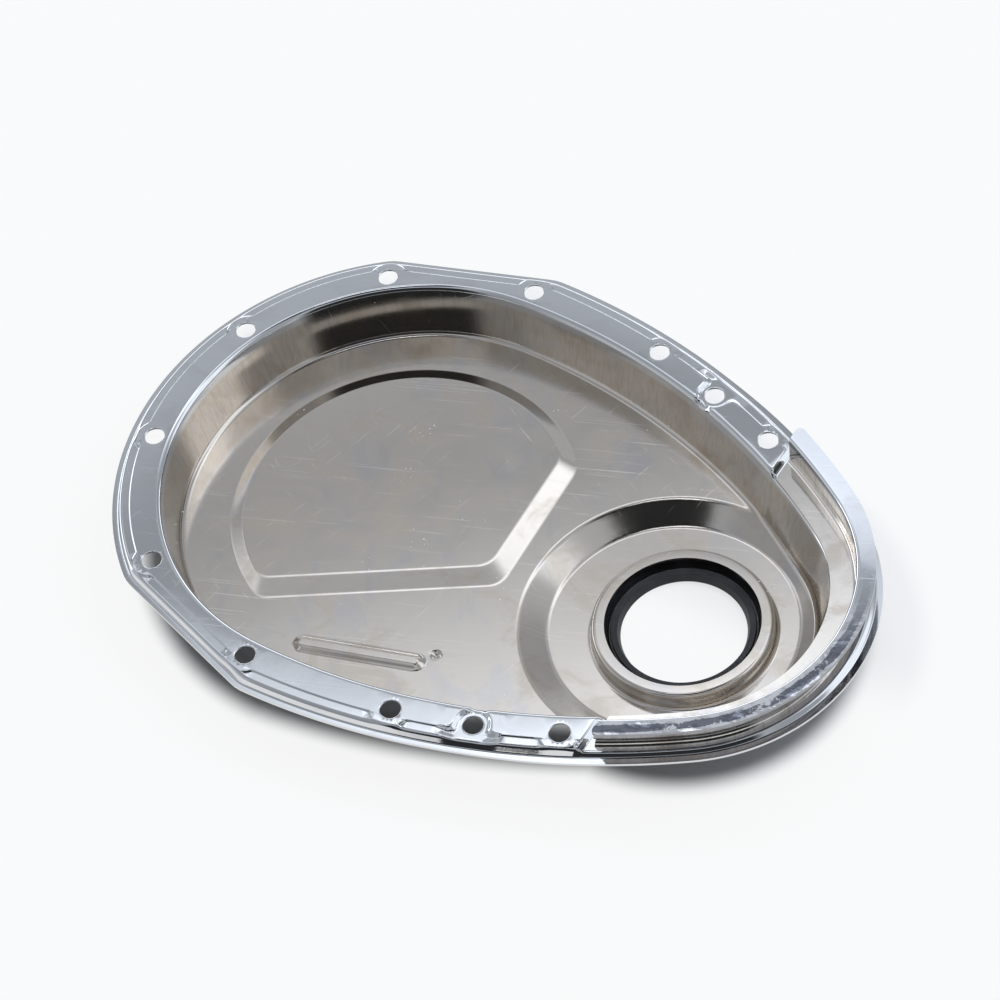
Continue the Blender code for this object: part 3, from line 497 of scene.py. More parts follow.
HOLE_ROLLOVER = 0.45 * MM
HOLE_ROLLOVER_DROP = 0.16 * MM
HOLE_RING_SHARES = (0.0, 0.15, 0.4, 0.7, 1.0)
HOLE_STEPS = 64
TOP_FILLET = 2.4 * MM
FILLET_STEPS = 8
STEP_CONTOURS = 10
LEDGE_STEPS = 8
NET_MARGIN = 0.4 * MM
STEP_MARGIN = 0.1 * MM
EDGE_MARGIN = 0.01 * MM

# Angles of a quarter bend from its start to its end, and the flange's inner edge, where the wall begins.
quarter = [math.pi / 2 * step / FILLET_STEPS for step in range(FILLET_STEPS + 1)]
flange_edge = WALL_TOP.inset(-TOP_FILLET)

bolts = [WALL_TOP.inset(-SIDE_BOLT_TO_WALL).flank_point(x) for x in SIDE_BOLT_PLACES_X]
bolts += [Vector((CAM_X, 0.0)) + polar(BOLT_CIRCLE_RADIUS, angle) for angle in BOLT_CIRCLE_ANGLES]
dowel = WALL_TOP.inset(-DOWEL_TO_WALL).flank_point(DOWEL_X)


def ledge_share(x):
    """0 on the mating face, 1 on the ledge that carries the pan-seal channel."""
    return smoothstep((LEDGE_START_X - x) / LEDGE_RAMP)


def beside_dowel(point):
    """1 in the recess round the dowel hole, and 0 well away from it."""
    distance = (on_plus_side(point) - dowel).length
    return 1 - smoothstep((distance - RECESS_FADE_START) / RECESS_FADE_SPAN)


def low_share(point):
    """How far down the step a point lies: 0 on the mating face, 1 in the band or a dowel recess."""
    from_dowel = (on_plus_side(point) - dowel).length
    outside = smooth_minimum(LIP.depth(point) - STEP_INSET, from_dowel - RECESS_RADIUS, RECESS_BLEND)
    span = STEP_SPAN + (RECESS_SLOPE - STEP_SPAN) * beside_dowel(point)
    return -outside / span


def rollover(point):
    """The punch pulls the metal down a little at each hole's edge."""
    reach = min((on_plus_side(point) - place).length for place in bolts) - BOLT_HOLE_RADIUS
    reach = min(reach, (on_plus_side(point) - dowel).length - DOWEL_HOLE_RADIUS)
    share = min(max(1 - reach / HOLE_ROLLOVER, 0.0), 1.0)
    return HOLE_ROLLOVER_DROP * share * share


def rim_height(point):
    """Height of the flange: mating face, outer band, bolt pads, dowel recesses and ledge."""
    nearest = min((on_plus_side(point) - place).length for place in bolts)
    beside_pad = smoothstep((nearest - PAD_REACH) / PAD_BLEND)
    drop = BAND_DROP + (RECESS_DROP - BAND_DROP) * beside_dowel(point)
    ledge = ledge_share(point[0])
    step = drop * smoothstep(low_share(point)) * beside_pad * (1 - ledge)
    return -step - LEDGE_DROP * ledge - rollover(point)


def skirt_profile():
    """Inset and height share of each line of the skirt, from the lip up to the band."""
    whole_rise = LIP_DROP - BAND_DROP
    foot_rise = SKIRT_FOOT_RADIUS * (1 - math.cos(SKIRT_SLOPE))
    top_fall = SKIRT_TOP_RADIUS * (1 - math.cos(SKIRT_SLOPE))
    straight = (whole_rise - foot_rise - top_fall) / math.tan(SKIRT_SLOPE)
    top_start = LIP_WIDTH + (SKIRT_FOOT_RADIUS + SKIRT_TOP_RADIUS) * math.sin(SKIRT_SLOPE) + straight
    profile = []
    for step in range(SKIRT_FOOT_STEPS + 1):
        angle = SKIRT_SLOPE * step / SKIRT_FOOT_STEPS
        profile.append((LIP_WIDTH + SKIRT_FOOT_RADIUS * math.sin(angle),
                        SKIRT_FOOT_RADIUS * (1 - math.cos(angle))))
    for step in range(SKIRT_TOP_STEPS + 1):
        angle = SKIRT_SLOPE * (1 - step / SKIRT_TOP_STEPS)
        profile.append((top_start - SKIRT_TOP_RADIUS * math.sin(angle),
                        whole_rise - SKIRT_TOP_RADIUS * (1 - math.cos(angle))))
    return [(inset, rise / whole_rise) for inset, rise in profile]


skirt_top = skirt_profile()[-1][0]


def lip_and_skirt_loops():
    flared = LIP.inset(-LIP_FLARE)
    lip_edge = []
    for point in LIP.half():
        flare = smoothstep((LIP_FLARE_START_X - point.x) / LIP_FLARE_START_X)
        lip_edge.append(point + point.normalized() * (flared.depth(point) * flare))
    loops = [raised(lip_edge, lambda point: -LIP_DROP)]
    for inset, share in skirt_profile():
        loops.append(raised(LIP.inset(inset).half(), lambda point, share=share:
                            share * rim_height(point) - (1 - share) * LIP_DROP))
    return loops


def step_lines():
    """Lines down the step between the mating face and the band, on the +Y side."""
    outer = LIP.inset(skirt_top).half()
    inner = flange_edge.half()
    lines = []
    for share in [step / STEP_CONTOURS for step in range(STEP_CONTOURS + 1)]:
        line = []
        for outside, inside in zip(outer, inner):
            if outside.x < LEDGE_START_X:
                break
            from_dowel = (outside.lerp(inside, 0.5) - dowel).length
            if low_share(inside) > share or from_dowel < RECESS_NET_RADIUS:
                line.append(None)
                continue
            across = furthest(lambda part: low_share(outside.lerp(inside, part)) > share, 1.0)
            line.append(outside.lerp(inside, across))
        lines.append(line)
    return lines


def pad_points():
    """Places across each end of the band, where it climbs to the pad round a bolt hole."""
    points = []
    for bolt in bolts:
        for radius in even_steps(PAD_REACH, PAD_NET_REACH, PAD_NET_RINGS):
            points += [point for point in circle(bolt, radius, PAD_NET_SPOKES)
                       if skirt_top + PAD_NET_MARGIN < LIP.depth(point) < STEP_INSET + STEP_MARGIN]
    return points


def recess_points():
    """A fine net of places over the recess round the dowel hole, where the ground bends both ways."""
    points = []
    for radius in even_steps(DOWEL_HOLE_RADIUS + HOLE_ROLLOVER, RECESS_NET_RADIUS, RECESS_NET_RINGS)[1:]:
        points += [point for point in circle(dowel, radius, RECESS_NET_SPOKES)
                   if LIP.depth(point) > skirt_top + NET_MARGIN
                   and flange_edge.depth(point) < -NET_MARGIN]
    return points


def runs(line):
    """The unbroken parts of a line, without the places where it has no point."""
    parts = [[]]
    for point in line:
        if point is None:
            parts.append([])
        else:
            parts[-1].append(point)
    return [part for part in parts if len(part) > 1]


def both_sides(line):
    return [line, [Vector((point.x, -point.y)) for point in line]]


def add_flange(mesh):
    """The ground from the skirt's top to the wall's top edge, with every hole left open."""
    outer = LIP.inset(skirt_top)
    open_lines = []
    for line in step_lines():
        for part in runs(line):
            open_lines += both_sides(part)
    for step in range(LEDGE_STEPS + 1):
        x = LEDGE_START_X - LEDGE_RAMP * step / LEDGE_STEPS
        open_lines += both_sides([outer.flank_point(x), flange_edge.flank_point(x)])
    closed_lines = [mirrored_loop(outer.half()), mirrored_loop(flange_edge.half())]
    for place, hole in [(bolt, BOLT_HOLE_RADIUS) for bolt in bolts] + [(dowel, DOWEL_HOLE_RADIUS)]:
        for share in HOLE_RING_SHARES:
            closed_lines += both_sides(circle(place, hole + share * HOLE_ROLLOVER, HOLE_STEPS))
    loose = []
    for line in (pad_points(), recess_points()):
        for points in both_sides(line):
            loose += points

    def keep(middle):
        if LIP.depth(middle) < skirt_top + EDGE_MARGIN or flange_edge.depth(middle) > 0.0:
            return False
        in_bolt_hole = min((on_plus_side(middle) - bolt).length for bolt in bolts) < BOLT_HOLE_RADIUS
        return not (in_bolt_hole or (on_plus_side(middle) - dowel).length < DOWEL_HOLE_RADIUS)

    add_patch(mesh, closed_lines, open_lines, loose, rim_height, keep)


# The floor of the pan holds a raised half-round field under the cam gear, a stiffening bead with
# a small dimple at its end, and a bowl with a drawn-up collar for the crankshaft seal.
FLOOR_DEPTH = 25.0 * MM
FOOT_FILLET = 2.5 * MM
FIELD_CENTRE = (131.8 * MM, 0.0)
FIELD_RISE = 1.3 * MM
FIELD_RADIUS = 73.0 * MM
FIELD_ARC_SLOPE = 6.2 * MM
FIELD_ROUNDING = 0.5
FIELD_STEPS = 360
# Distance from the field's centre, width of its slope and facing, for each straight side of the field.
FIELD_SIDES = ((44.7 * MM, 10.7 * MM, math.radians(121.0)), (57.2 * MM, 9.8 * MM, math.radians(183.4)))
BEAD_ENDS = (WALL_FOOT.inset(16.6 * MM).flank_point(129.0 * MM),
             WALL_FOOT.inset(25.1 * MM).flank_point(84.0 * MM))
BEAD_HALF_WIDTH = 4.6 * MM
BEAD_TOP_HALF_WIDTH = 1.2 * MM
BEAD_RISE = 1.7 * MM
BEAD_END_STEPS = 16
DIMPLE_PLACE = WALL_FOOT.inset(31.0 * MM).flank_point(78.7 * MM)
DIMPLE_RADIUS = 2.8 * MM
DIMPLE_DEPTH = 1.2 * MM
DIMPLE_STEPS = 48
BOWL_CENTRE = (4.8 * MM, 0.0)
BOWL_RADIUS = 62.0 * MM
BOWL_FLAT_RADIUS = 48.9 * MM
BOWL_DEPTH = 5.0 * MM
BOWL_MARGIN = 0.5 * MM
COLLAR_RADIUS = 36.2 * MM
COLLAR_HEIGHT = 7.6 * MM
COLLAR_FOOT_FILLET = 1.8 * MM
COLLAR_TOP_FILLET = 2.2 * MM
COLLAR_OPENING_RADIUS = 30.8 * MM
ROUND_STEPS = 216
PRESSED_CORNER = 0.16
# Contours across a slope lie closest together over the roundings at its foot and its top.
SLOPE_SHARES = (0.0, 0.03, 0.06, 0.09, 0.12, 0.16, 0.3, 0.5, 0.7, 0.84, 0.88, 0.91, 0.94, 0.97, 1.0)


def pressed(value):
    """A straight slope from 0 to 1 with a small rounding at its foot and at its top."""
    value = min(max(value, 0.0), 1.0)
    if value > 0.5:
        return 1 - pressed(1 - value)
    if value < PRESSED_CORNER:
        return value * value / (2 * PRESSED_CORNER * (1 - PRESSED_CORNER))
    return (value - PRESSED_CORNER / 2) / (1 - PRESSED_CORNER)


def field_climb(point):
    """How far up the field's slope a point lies: 0 at its foot and 1 on its top."""
    arm = Vector((point[0], point[1])) - Vector(FIELD_CENTRE)
    climb = (FIELD_RADIUS - arm.length) / FIELD_ARC_SLOPE
    for distance, slope, facing in FIELD_SIDES:
        climb = smooth_minimum(climb, (distance - arm.dot(polar(1.0, facing))) / slope, FIELD_ROUNDING)
    return climb


def field_outline(climb):
    """Contour of the field at one climb, found along rays from its middle."""
    outline = []
    middle = Vector(FIELD_CENTRE)
    for angle in even_steps(0.0, 2 * math.pi, FIELD_STEPS):
        out = furthest(lambda radius: field_climb(middle + polar(radius, angle)) > climb, FIELD_RADIUS)
        outline.append(middle + polar(out, angle))
    return outline


def bead_outline(half_width):
    """Straight slot shape round the bead's two end points."""
    first, last = BEAD_ENDS
    along = math.atan2(last.y - first.y, last.x - first.x)
    outline = []
    for centre, start in ((last, along - math.pi / 2), (first, along + math.pi / 2)):
        for step in range(BEAD_END_STEPS + 1):
            outline.append(centre + polar(half_width, start + math.pi * step / BEAD_END_STEPS))
    return outline


def bead_distance(point):
    """How far a point lies from the bead's centre line."""
    first, last = BEAD_ENDS
    along = last - first
    arm = Vector((point[0], point[1])) - first
    share = arm.dot(along) / along.length_squared
    return (arm - along * min(max(share, 0.0), 1.0)).length


def floor_height(point):
    """Height of the floor's upper face: bowl, raised field, bead and dimple."""
    flat = Vector((point[0], point[1]))
    from_bowl = (flat - Vector(BOWL_CENTRE)).length
    bead_share = (BEAD_HALF_WIDTH - bead_distance(point)) / (BEAD_HALF_WIDTH - BEAD_TOP_HALF_WIDTH)
    height = -FLOOR_DEPTH
    height -= BOWL_DEPTH * pressed((BOWL_RADIUS - from_bowl) / (BOWL_RADIUS - BOWL_FLAT_RADIUS))
    height += FIELD_RISE * pressed(field_climb(point))
    height += BEAD_RISE * smoothstep(bead_share)
    return height - DIMPLE_DEPTH * smoothstep(1 - (flat - DIMPLE_PLACE).length / DIMPLE_RADIUS)


def wall_loops():
    """Rounded top edge, tapered wall and rounded foot, from the flange face to the floor."""
    edge_heights = [rim_height(point) for point in mirrored_loop(flange_edge.half())]
    loops = []
    for angle in quarter:
        half = WALL_TOP.inset(-TOP_FILLET * (1 - math.sin(angle))).half()
        loops.append([Vector((point[0], point[1], edge - TOP_FILLET * (1 - math.cos(angle))))
                      for point, edge in zip(mirrored_loop(half), edge_heights)])
    for angle in reversed(quarter):
        rise = FOOT_FILLET * (1 - math.cos(angle))
        half = WALL_FOOT.inset(FOOT_FILLET * (1 - math.sin(angle))).half()
        loops.append(raised(half, lambda point, rise=rise: floor_height(point) + rise))
    return loops


def add_floor(mesh):
    """The ground from the wall's foot to the collar's foot."""
    edge = WALL_FOOT.inset(FOOT_FILLET)
    collar_foot = COLLAR_RADIUS + COLLAR_FOOT_FILLET
    closed_lines = [mirrored_loop(edge.half()), circle((0.0, 0.0), collar_foot, ROUND_STEPS)]
    closed_lines += [field_outline(share) for share in SLOPE_SHARES]
    for share in SLOPE_SHARES:
        closed_lines.append(bead_outline(BEAD_HALF_WIDTH + (BEAD_TOP_HALF_WIDTH - BEAD_HALF_WIDTH) * share))
    closed_lines += [circle(DIMPLE_PLACE, DIMPLE_RADIUS * share, DIMPLE_STEPS) for share in SLOPE_SHARES[1:]]
    open_lines = []
    for share in SLOPE_SHARES:
        ring = circle(BOWL_CENTRE, BOWL_RADIUS + (BOWL_FLAT_RADIUS - BOWL_RADIUS) * share, ROUND_STEPS)
        ring = ring[ROUND_STEPS // 2:] + ring[:ROUND_STEPS // 2 + 1]
        open_lines += runs([point if edge.depth(point) > BOWL_MARGIN else None for point in ring])
    add_patch(mesh, closed_lines, open_lines, [DIMPLE_PLACE], floor_height,
              lambda middle: middle.length > collar_foot * math.cos(math.pi / ROUND_STEPS))


def collar_loops():
    """Section of the collar from its foot on the bowl, up the wall and over the inturned top."""
    foot = -FLOOR_DEPTH - BOWL_DEPTH
    top = foot + COLLAR_HEIGHT
    section = []
    for angle in quarter:
        section.append((COLLAR_RADIUS + COLLAR_FOOT_FILLET * (1 - math.sin(angle)),
                        foot + COLLAR_FOOT_FILLET * (1 - math.cos(angle))))
    for angle in quarter:
        section.append((COLLAR_RADIUS - COLLAR_TOP_FILLET * (1 - math.cos(angle)),
                        top - COLLAR_TOP_FILLET * (1 - math.sin(angle))))
    section.append((COLLAR_OPENING_RADIUS, top))
    return [[Vector((point.x, point.y, height)) for point in circle((0.0, 0.0), radius, ROUND_STEPS)]
            for radius, height in section]


WELD_DISTANCE = 0.005 * MM
SHARP_ANGLE = math.radians(40.0)


def new_piece(name, mesh, material, node):
    """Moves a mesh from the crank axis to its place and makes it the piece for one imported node."""
    data = bpy.data.meshes.new(name)
    bmesh.ops.remove_doubles(mesh, verts=mesh.verts, dist=WELD_DISTANCE)
    bmesh.ops.recalc_face_normals(mesh, faces=mesh.faces)
    bmesh.ops.translate(mesh, verts=mesh.verts, vec=(CRANK_X, 0.0, MATING_FACE_Z))
    mesh.to_mesh(data)
    mesh.free()
    data.materials.append(material)
    piece = bpy.data.objects.new(name, data)
    bpy.context.scene.collection.objects.link(piece)
    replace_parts(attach(piece, "root"), node)
    return piece


def thicken(piece, thickness):
    """Gives a sheet its thickness below the modelled face, and shades it smooth up to its edges."""
    if sum(face.normal.z * face.area for face in piece.data.polygons) < 0.0:
        piece.data.flip_normals()
    sheet = bmesh.new()
    sheet.from_mesh(piece.data)
    for face in sheet.faces:
        face.smooth = True
    for edge in sheet.edges:
        edge.smooth = not (edge.is_boundary or edge.calc_face_angle(0.0) > SHARP_ANGLE)
    sheet.to_mesh(piece.data)
    sheet.free()
    solid = piece.modifiers.new("Sheet thickness", "SOLIDIFY")
    solid.thickness = thickness
    solid.offset = -1.0
    solid.use_quality_normals = True
    weighted = piece.modifiers.new("Flat faces stay flat", "WEIGHTED_NORMAL")
    weighted.keep_sharp = True


# Bright chrome covers the flange and the front. It thins out down the wall, and the pan inside shows
# satin nickel with tan and violet stains. The channel's top strip has painted dark and bright reflections
# in patches towards the camera, and a painted shade on its faces that don't face up.
CHROME = (0.70, 0.71, 0.72, 1.0)
CHROME_HAZE = (0.60, 0.60, 0.63, 1.0)
NICKEL = (0.66, 0.61, 0.55, 1.0)
NICKEL_TAN = (0.56, 0.49, 0.41, 1.0)
NICKEL_VIOLET = (0.54, 0.54, 0.58, 1.0)
NICKEL_BRIGHT = (0.86, 0.81, 0.75, 1.0)
STRIP_CHROME = (0.86, 0.88, 0.92, 1.0)
# The next three colours are the strip's painted dark reflection, painted highlight and painted shade.
STRIP_PAINTED_DARK_REFLECTION = (0.27, 0.28, 0.33, 1.0)
STRIP_PAINTED_HIGHLIGHT = (0.95, 0.95, 0.97, 1.0)
STRIP_PAINTED_SHADE = (0.32, 0.32, 0.34, 1.0)
DRAWN_BROWN = (0.50, 0.44, 0.36, 1.0)
DUST = (0.9, 0.9, 0.88, 1.0)
HAZE_SHARE = 0.35
TAN_SHARE = 0.6
VIOLET_SHARE = 0.4
BROWN_SHARE = 0.45
SCRATCH_SHARE = 0.3
NICKEL_FADE = 2.0 * MM
CHANNEL_HEIGHT = 12.7 * MM
STRIP_DISH = 0.4 * MM


def plated(name, chrome, nickel_tone, nickel_below, is_strip, chrome_roughness, dent_depth):
    """Chrome that thins out in the recess to satin nickel, with stains, drawing marks and scratches, and on
    the strip painted reflections and a painted shade.
    """
    material, metal = blank_material(name)
    place = metal.make("ShaderNodeTexCoord", {}, {}, "Object")
    facing = metal.make("ShaderNodeTexCoord", {}, {}, "Normal")
    up = metal.make("ShaderNodeSeparateXYZ", {}, {"Vector": facing}, "Z")
    height = metal.make("ShaderNodeSeparateXYZ", {}, {"Vector": place}, "Z")
    upright = (up * up).fade(0.5, 0.1)
    nickel = height.fade(nickel_below, nickel_below - NICKEL_FADE)
    if not is_strip:
        nickel = nickel * up.fade(-0.04, 0.04)

    def noise(sizes, turn, detail, distortion=0.0):
        """Noise whose grains have these sizes in millimetres, turned about the vertical."""
        laid = metal.make("ShaderNodeMapping", {"vector_type": "TEXTURE"},
                          {"Vector": place, "Rotation": (0.0, 0.0, turn), "Scale": Vector(sizes) * MM})
        return metal.make("ShaderNodeTexNoise", {}, {"Vector": laid, "Scale": 1.0, "Detail": detail,
                                                     "Roughness": 0.62, "Distortion": distortion}, "Fac")

    clouds = noise((30, 22, 30), 0.4, 5.0, 0.7)
    tan = clouds.fade(0.50, 0.66)
    violet = noise((45, 20, 30), 2.2, 5.0, 0.9).fade(0.50, 0.68)
    streaks = noise((1.6, 1.6, 160), 0.0, 4.0)
    scores = (noise((70, 0.5, 70), 0.35, 2.0).fade(0.66, 0.72)
              + noise((28, 0.6, 30), 1.35, 2.0).fade(0.69, 0.75)
              + noise((16, 0.5, 20), 2.7, 2.0, 0.15).fade(0.70, 0.75))
    specks = metal.make("ShaderNodeTexVoronoi", {}, {"Vector": place, "Scale": 400.0}, "Distance")
    dusty = specks.fade(0.15, 0.08) * noise((20, 20, 20), 1.0, 2.0).fade(0.62, 0.68) * nickel
    inside = (tan * TAN_SHARE).mix(nickel_tone, NICKEL_TAN)
    inside = (violet * VIOLET_SHARE).mix(inside, NICKEL_VIOLET)
    inside = (upright * streaks.fade(0.42, 0.68) * BROWN_SHARE).mix(inside, DRAWN_BROWN)
    inside = (scores * SCRATCH_SHARE).mix(inside, NICKEL_BRIGHT)
    outside = (tan * HAZE_SHARE).mix(chrome, CHROME_HAZE)
    near_side = metal.make("ShaderNodeSeparateXYZ", {}, {"Vector": place}, "Y").fade(-35.0 * MM, 10.0 * MM)
    if is_strip:
        bend_height = MATING_FACE_Z + CHANNEL_HEIGHT - STRIP_DISH
        across = (height - bend_height) * (1.0 / STRIP_DISH)
        middle = across.fade(0.05, 0.35) * across.fade(1.0, 0.7)
        patches = noise((12, 12, 12), 0.9, 2.0)
        ragged = noise((1.2, 1.2, 1.2), 0.0, 2.0)
        # Dark and bright reflections are painted in patches on the strip's top, on the side towards the
        # camera.
        painted_reflection_share = (middle * 0.5 + patches * 0.9 + ragged * 0.5).fade(1.04, 1.12)
        outside = (near_side * up.fade(0.7, 0.9)).mix(outside, painted_reflection_share.mix(STRIP_PAINTED_HIGHLIGHT, STRIP_PAINTED_DARK_REFLECTION))
        # Faces of the strip that don't face up get a painted shade.
        outside = up.fade(0.3, 0.6).mix(STRIP_PAINTED_SHADE, outside)
    colour = nickel.mix(outside, inside)
    colour = dusty.mix(colour, DUST)
    roughness = chrome_roughness + tan * 0.03 + nickel * (clouds * 0.08 + 0.02)
    roughness = roughness + scores * 0.10 + dusty * 0.3
    grain = streaks * upright + noise((3, 3, 3), 0.0, 2.0) * 0.2
    drawn = metal.make("ShaderNodeBump", {}, {"Strength": 0.6, "Distance": 0.02 * MM, "Height": grain})
    scored = metal.make("ShaderNodeBump", {}, {"Strength": 0.2, "Distance": 0.01 * MM, "Height": scores,
                                               "Normal": drawn})
    dents = noise((10, 10, 10), 0.0, 1.0) + noise((1.8, 1.8, 1.8), 0.0, 1.0) * 0.06
    above = height.fade(nickel_below, nickel_below + 1.0 * MM)
    dented = metal.make("ShaderNodeBump", {}, {"Strength": 1.0, "Distance": dent_depth,
                                               "Height": dents * near_side * above, "Normal": scored})
    shader = metal.make("ShaderNodeBsdfPrincipled", {}, {"Base Color": colour, "Metallic": 1.0 - dusty,
                                                         "Roughness": roughness, "Normal": dented})
    metal.make("ShaderNodeOutputMaterial", {}, {"Surface": shader})
    return material


plating = plated("chrome_over_nickel", CHROME, NICKEL, nickel_below=MATING_FACE_Z - 3.6 * MM,
                 is_strip=False, chrome_roughness=0.07, dent_depth=0.01 * MM)
strip_plating = plated("strip_plating", STRIP_CHROME, NICKEL_BRIGHT, nickel_below=MATING_FACE_Z + 10.0 * MM,
                       is_strip=True, chrome_roughness=0.05, dent_depth=0.6 * MM)

pan = bmesh.new()
add_strips(pan, lip_and_skirt_loops())
add_flange(pan)
add_strips(pan, wall_loops())
add_floor(pan)
add_strips(pan, collar_loops())
shell = new_piece("shell", pan, plating, "cover_shell")
thicken(shell, SHELL_SHEET)


# The channel is a folded strip of the same steel, welded to the ledge round the crank end.
# Its foot lies on the ledge, its web stands up, and its top strip turns outwards over the oil-pan seal.
CHANNEL_SHEET = 1.2 * MM
CHANNEL_SEAT_GAP = 0.3 * MM
CHANNEL_END_GAP = 0.9 * MM
STRIP_SETBACK_PLUS_Y = 3.0 * MM
STRIP_SETBACK_MINUS_Y = 0.5 * MM
CHANNEL_FOOT_OVERHANG = 0.5 * MM
CHANNEL_WEB_INSET = 9.2 * MM
CHANNEL_BEND = 1.6 * MM
STRIP_INSET = 1.6 * MM
STRIP_CORNER = 3.6 * MM
CHANNEL_STEPS = 90

foot_height = CHANNEL_SEAT_GAP + CHANNEL_SHEET - LEDGE_DROP
foot_end_x = LEDGE_START_X - LEDGE_RAMP - CHANNEL_END_GAP

# Each row has its outline, its height, its share of the ends' setback and how far its corner is cut.
rows = [(WALL_TOP.inset(-CHANNEL_FOOT_OVERHANG), foot_height, 0.0, 0.0)]
rows += [(LIP.inset(CHANNEL_WEB_INSET + CHANNEL_BEND * (1 - math.sin(angle))),
          foot_height + CHANNEL_BEND * (1 - math.cos(angle)), 0.0, 0.0) for angle in quarter]
rows += [(LIP.inset(CHANNEL_WEB_INSET - CHANNEL_BEND * (1 - math.cos(angle))),
          CHANNEL_HEIGHT - STRIP_DISH - CHANNEL_BEND * (1 - math.sin(angle)), 1.0, 0.0) for angle in quarter]
strip_width = CHANNEL_WEB_INSET - CHANNEL_BEND - STRIP_INSET
rows += [(LIP.inset(STRIP_INSET + STRIP_CORNER * (1 - math.cos(angle))),
          CHANNEL_HEIGHT - STRIP_DISH * STRIP_CORNER * (1 - math.cos(angle)) / strip_width,
          1.0, STRIP_CORNER * (1 - math.sin(angle))) for angle in reversed(quarter)]
lines = []
for egg, height, setback_share, corner in rows:
    plus_side, minus_side = [
        egg.crank_arc(foot_end_x - corner - setback * setback_share, CHANNEL_STEPS)
        for setback in (STRIP_SETBACK_PLUS_Y, STRIP_SETBACK_MINUS_Y)]
    line = plus_side + [Vector((point.x, -point.y)) for point in reversed(minus_side[:-1])]
    lines.append([Vector((point.x, point.y, height)) for point in line])
fold = bmesh.new()
add_strips(fold, lines, closed=False)
channel = new_piece("pan_seal_strip", fold, strip_plating, "pan_seal_channel")
thicken(channel, CHANNEL_SHEET)


# The crankshaft seal is a thin steel cup, painted black and pressed into the collar, with a
# rubber lining moulded inside it. The rubber ends in a head whose edge wipes the turning hub.
SEAL_FIT = 0.3 * MM
SEAL_SINK = 0.2 * MM
SEAL_BOTTOM = -FLOOR_DEPTH - BOWL_DEPTH - SHELL_SHEET + SEAL_SINK
SEAL_CASE_RADIUS = COLLAR_RADIUS - SHELL_SHEET - SEAL_FIT
SEAL_CASE_SHEET = 0.8 * MM
SEAL_CASE_HEIGHT = 6.6 * MM
SEAL_CASE_BEND = 1.2 * MM
SEAL_CASE_OPENING_RADIUS = 29.0 * MM
SEAL_LINING = 1.0 * MM
SEAL_WEB = 1.1 * MM
LIP_HEAD_OUTER_RADIUS = 28.5 * MM
LIP_HEAD_INNER_RADIUS = 26.0 * MM
LIP_HEAD_HEIGHT = 4.6 * MM
LIP_HEAD_FALL = 0.7 * MM
LIP_BORE_RADIUS = 24.9 * MM
LIP_EDGE_HEIGHT = 0.8 * MM
LIP_MOUTH_RADIUS = 26.8 * MM
SPRING_RING_RADIUS = 29.1 * MM
SPRING_WIRE_RADIUS = 0.8 * MM
SEAL_EDGE_ROUNDING = 0.18 * MM
GROOVE_STEPS = 12
seal_case_top = SEAL_BOTTOM + SEAL_CASE_HEIGHT
web_bottom = SEAL_BOTTOM + SEAL_CASE_SHEET + SEAL_FIT
web_top = web_bottom + SEAL_WEB
spring_height = web_top + SPRING_WIRE_RADIUS + SEAL_FIT


def turned(name, profile, material, node):
    """Solid of revolution about the crank axis from a closed profile of radius and height."""
    section = bmesh.new()
    verts = [section.verts.new((radius, 0.0, height)) for radius, height in profile]
    for first, second in zip(verts, verts[1:] + verts[:1]):
        section.edges.new((first, second))
    bmesh.ops.spin(section, geom=section.verts[:] + section.edges[:], cent=(0.0, 0.0, 0.0),
                   axis=(0.0, 0.0, 1.0), angle=2 * math.pi, steps=ROUND_STEPS, use_merge=True)
    piece = new_piece(name, section, material, node)
    rounding = piece.modifiers.new("Rounded edges", "BEVEL")
    rounding.width = SEAL_EDGE_ROUNDING
    rounding.segments = 2
    rounding.limit_method = "ANGLE"
    rounding.angle_limit = math.radians(35.0)
    rounding.harden_normals = True
    piece.data.shade_smooth()
    return piece


def bend_line(outer, bottom, radius):
    """Quarter bend from the upright side of a cup down to its bottom."""
    return [(outer - radius * (1 - math.cos(angle)), bottom + radius * (1 - math.sin(angle)))
            for angle in quarter]


def dull(name, light_tone, dark_tone, metallic, roughness, grain):
    """A dull surface with a fine grain and dusty patches, for the seal and its spring."""
    material, skin = blank_material(name)
    place = skin.make("ShaderNodeTexCoord", {}, {}, "Object")
    dust = skin.make("ShaderNodeTexNoise", {}, {"Vector": place, "Scale": 90.0, "Detail": 4.0}, "Fac")
    speck = skin.make("ShaderNodeTexNoise", {}, {"Vector": place, "Scale": 900.0, "Detail": 2.0}, "Fac")
    colour = dust.fade(0.4, 0.7).mix((*dark_tone, 1.0), (*light_tone, 1.0))
    relief = skin.make("ShaderNodeBump", {}, {"Strength": 0.3, "Distance": grain, "Height": speck})
    shader = skin.make("ShaderNodeBsdfPrincipled", {}, {
        "Base Color": colour, "Metallic": metallic, "Roughness": dust * 0.15 + roughness, "Normal": relief})
    skin.make("ShaderNodeOutputMaterial", {}, {"Surface": shader})
    return material


black_paint = dull("black_paint", (0.012, 0.012, 0.012), (0.005, 0.005, 0.005),
                   metallic=0.0, roughness=0.35, grain=0.01 * MM)
rubber = dull("seal_rubber", (0.035, 0.035, 0.038), (0.018, 0.018, 0.02),
              metallic=0.0, roughness=0.45, grain=0.02 * MM)

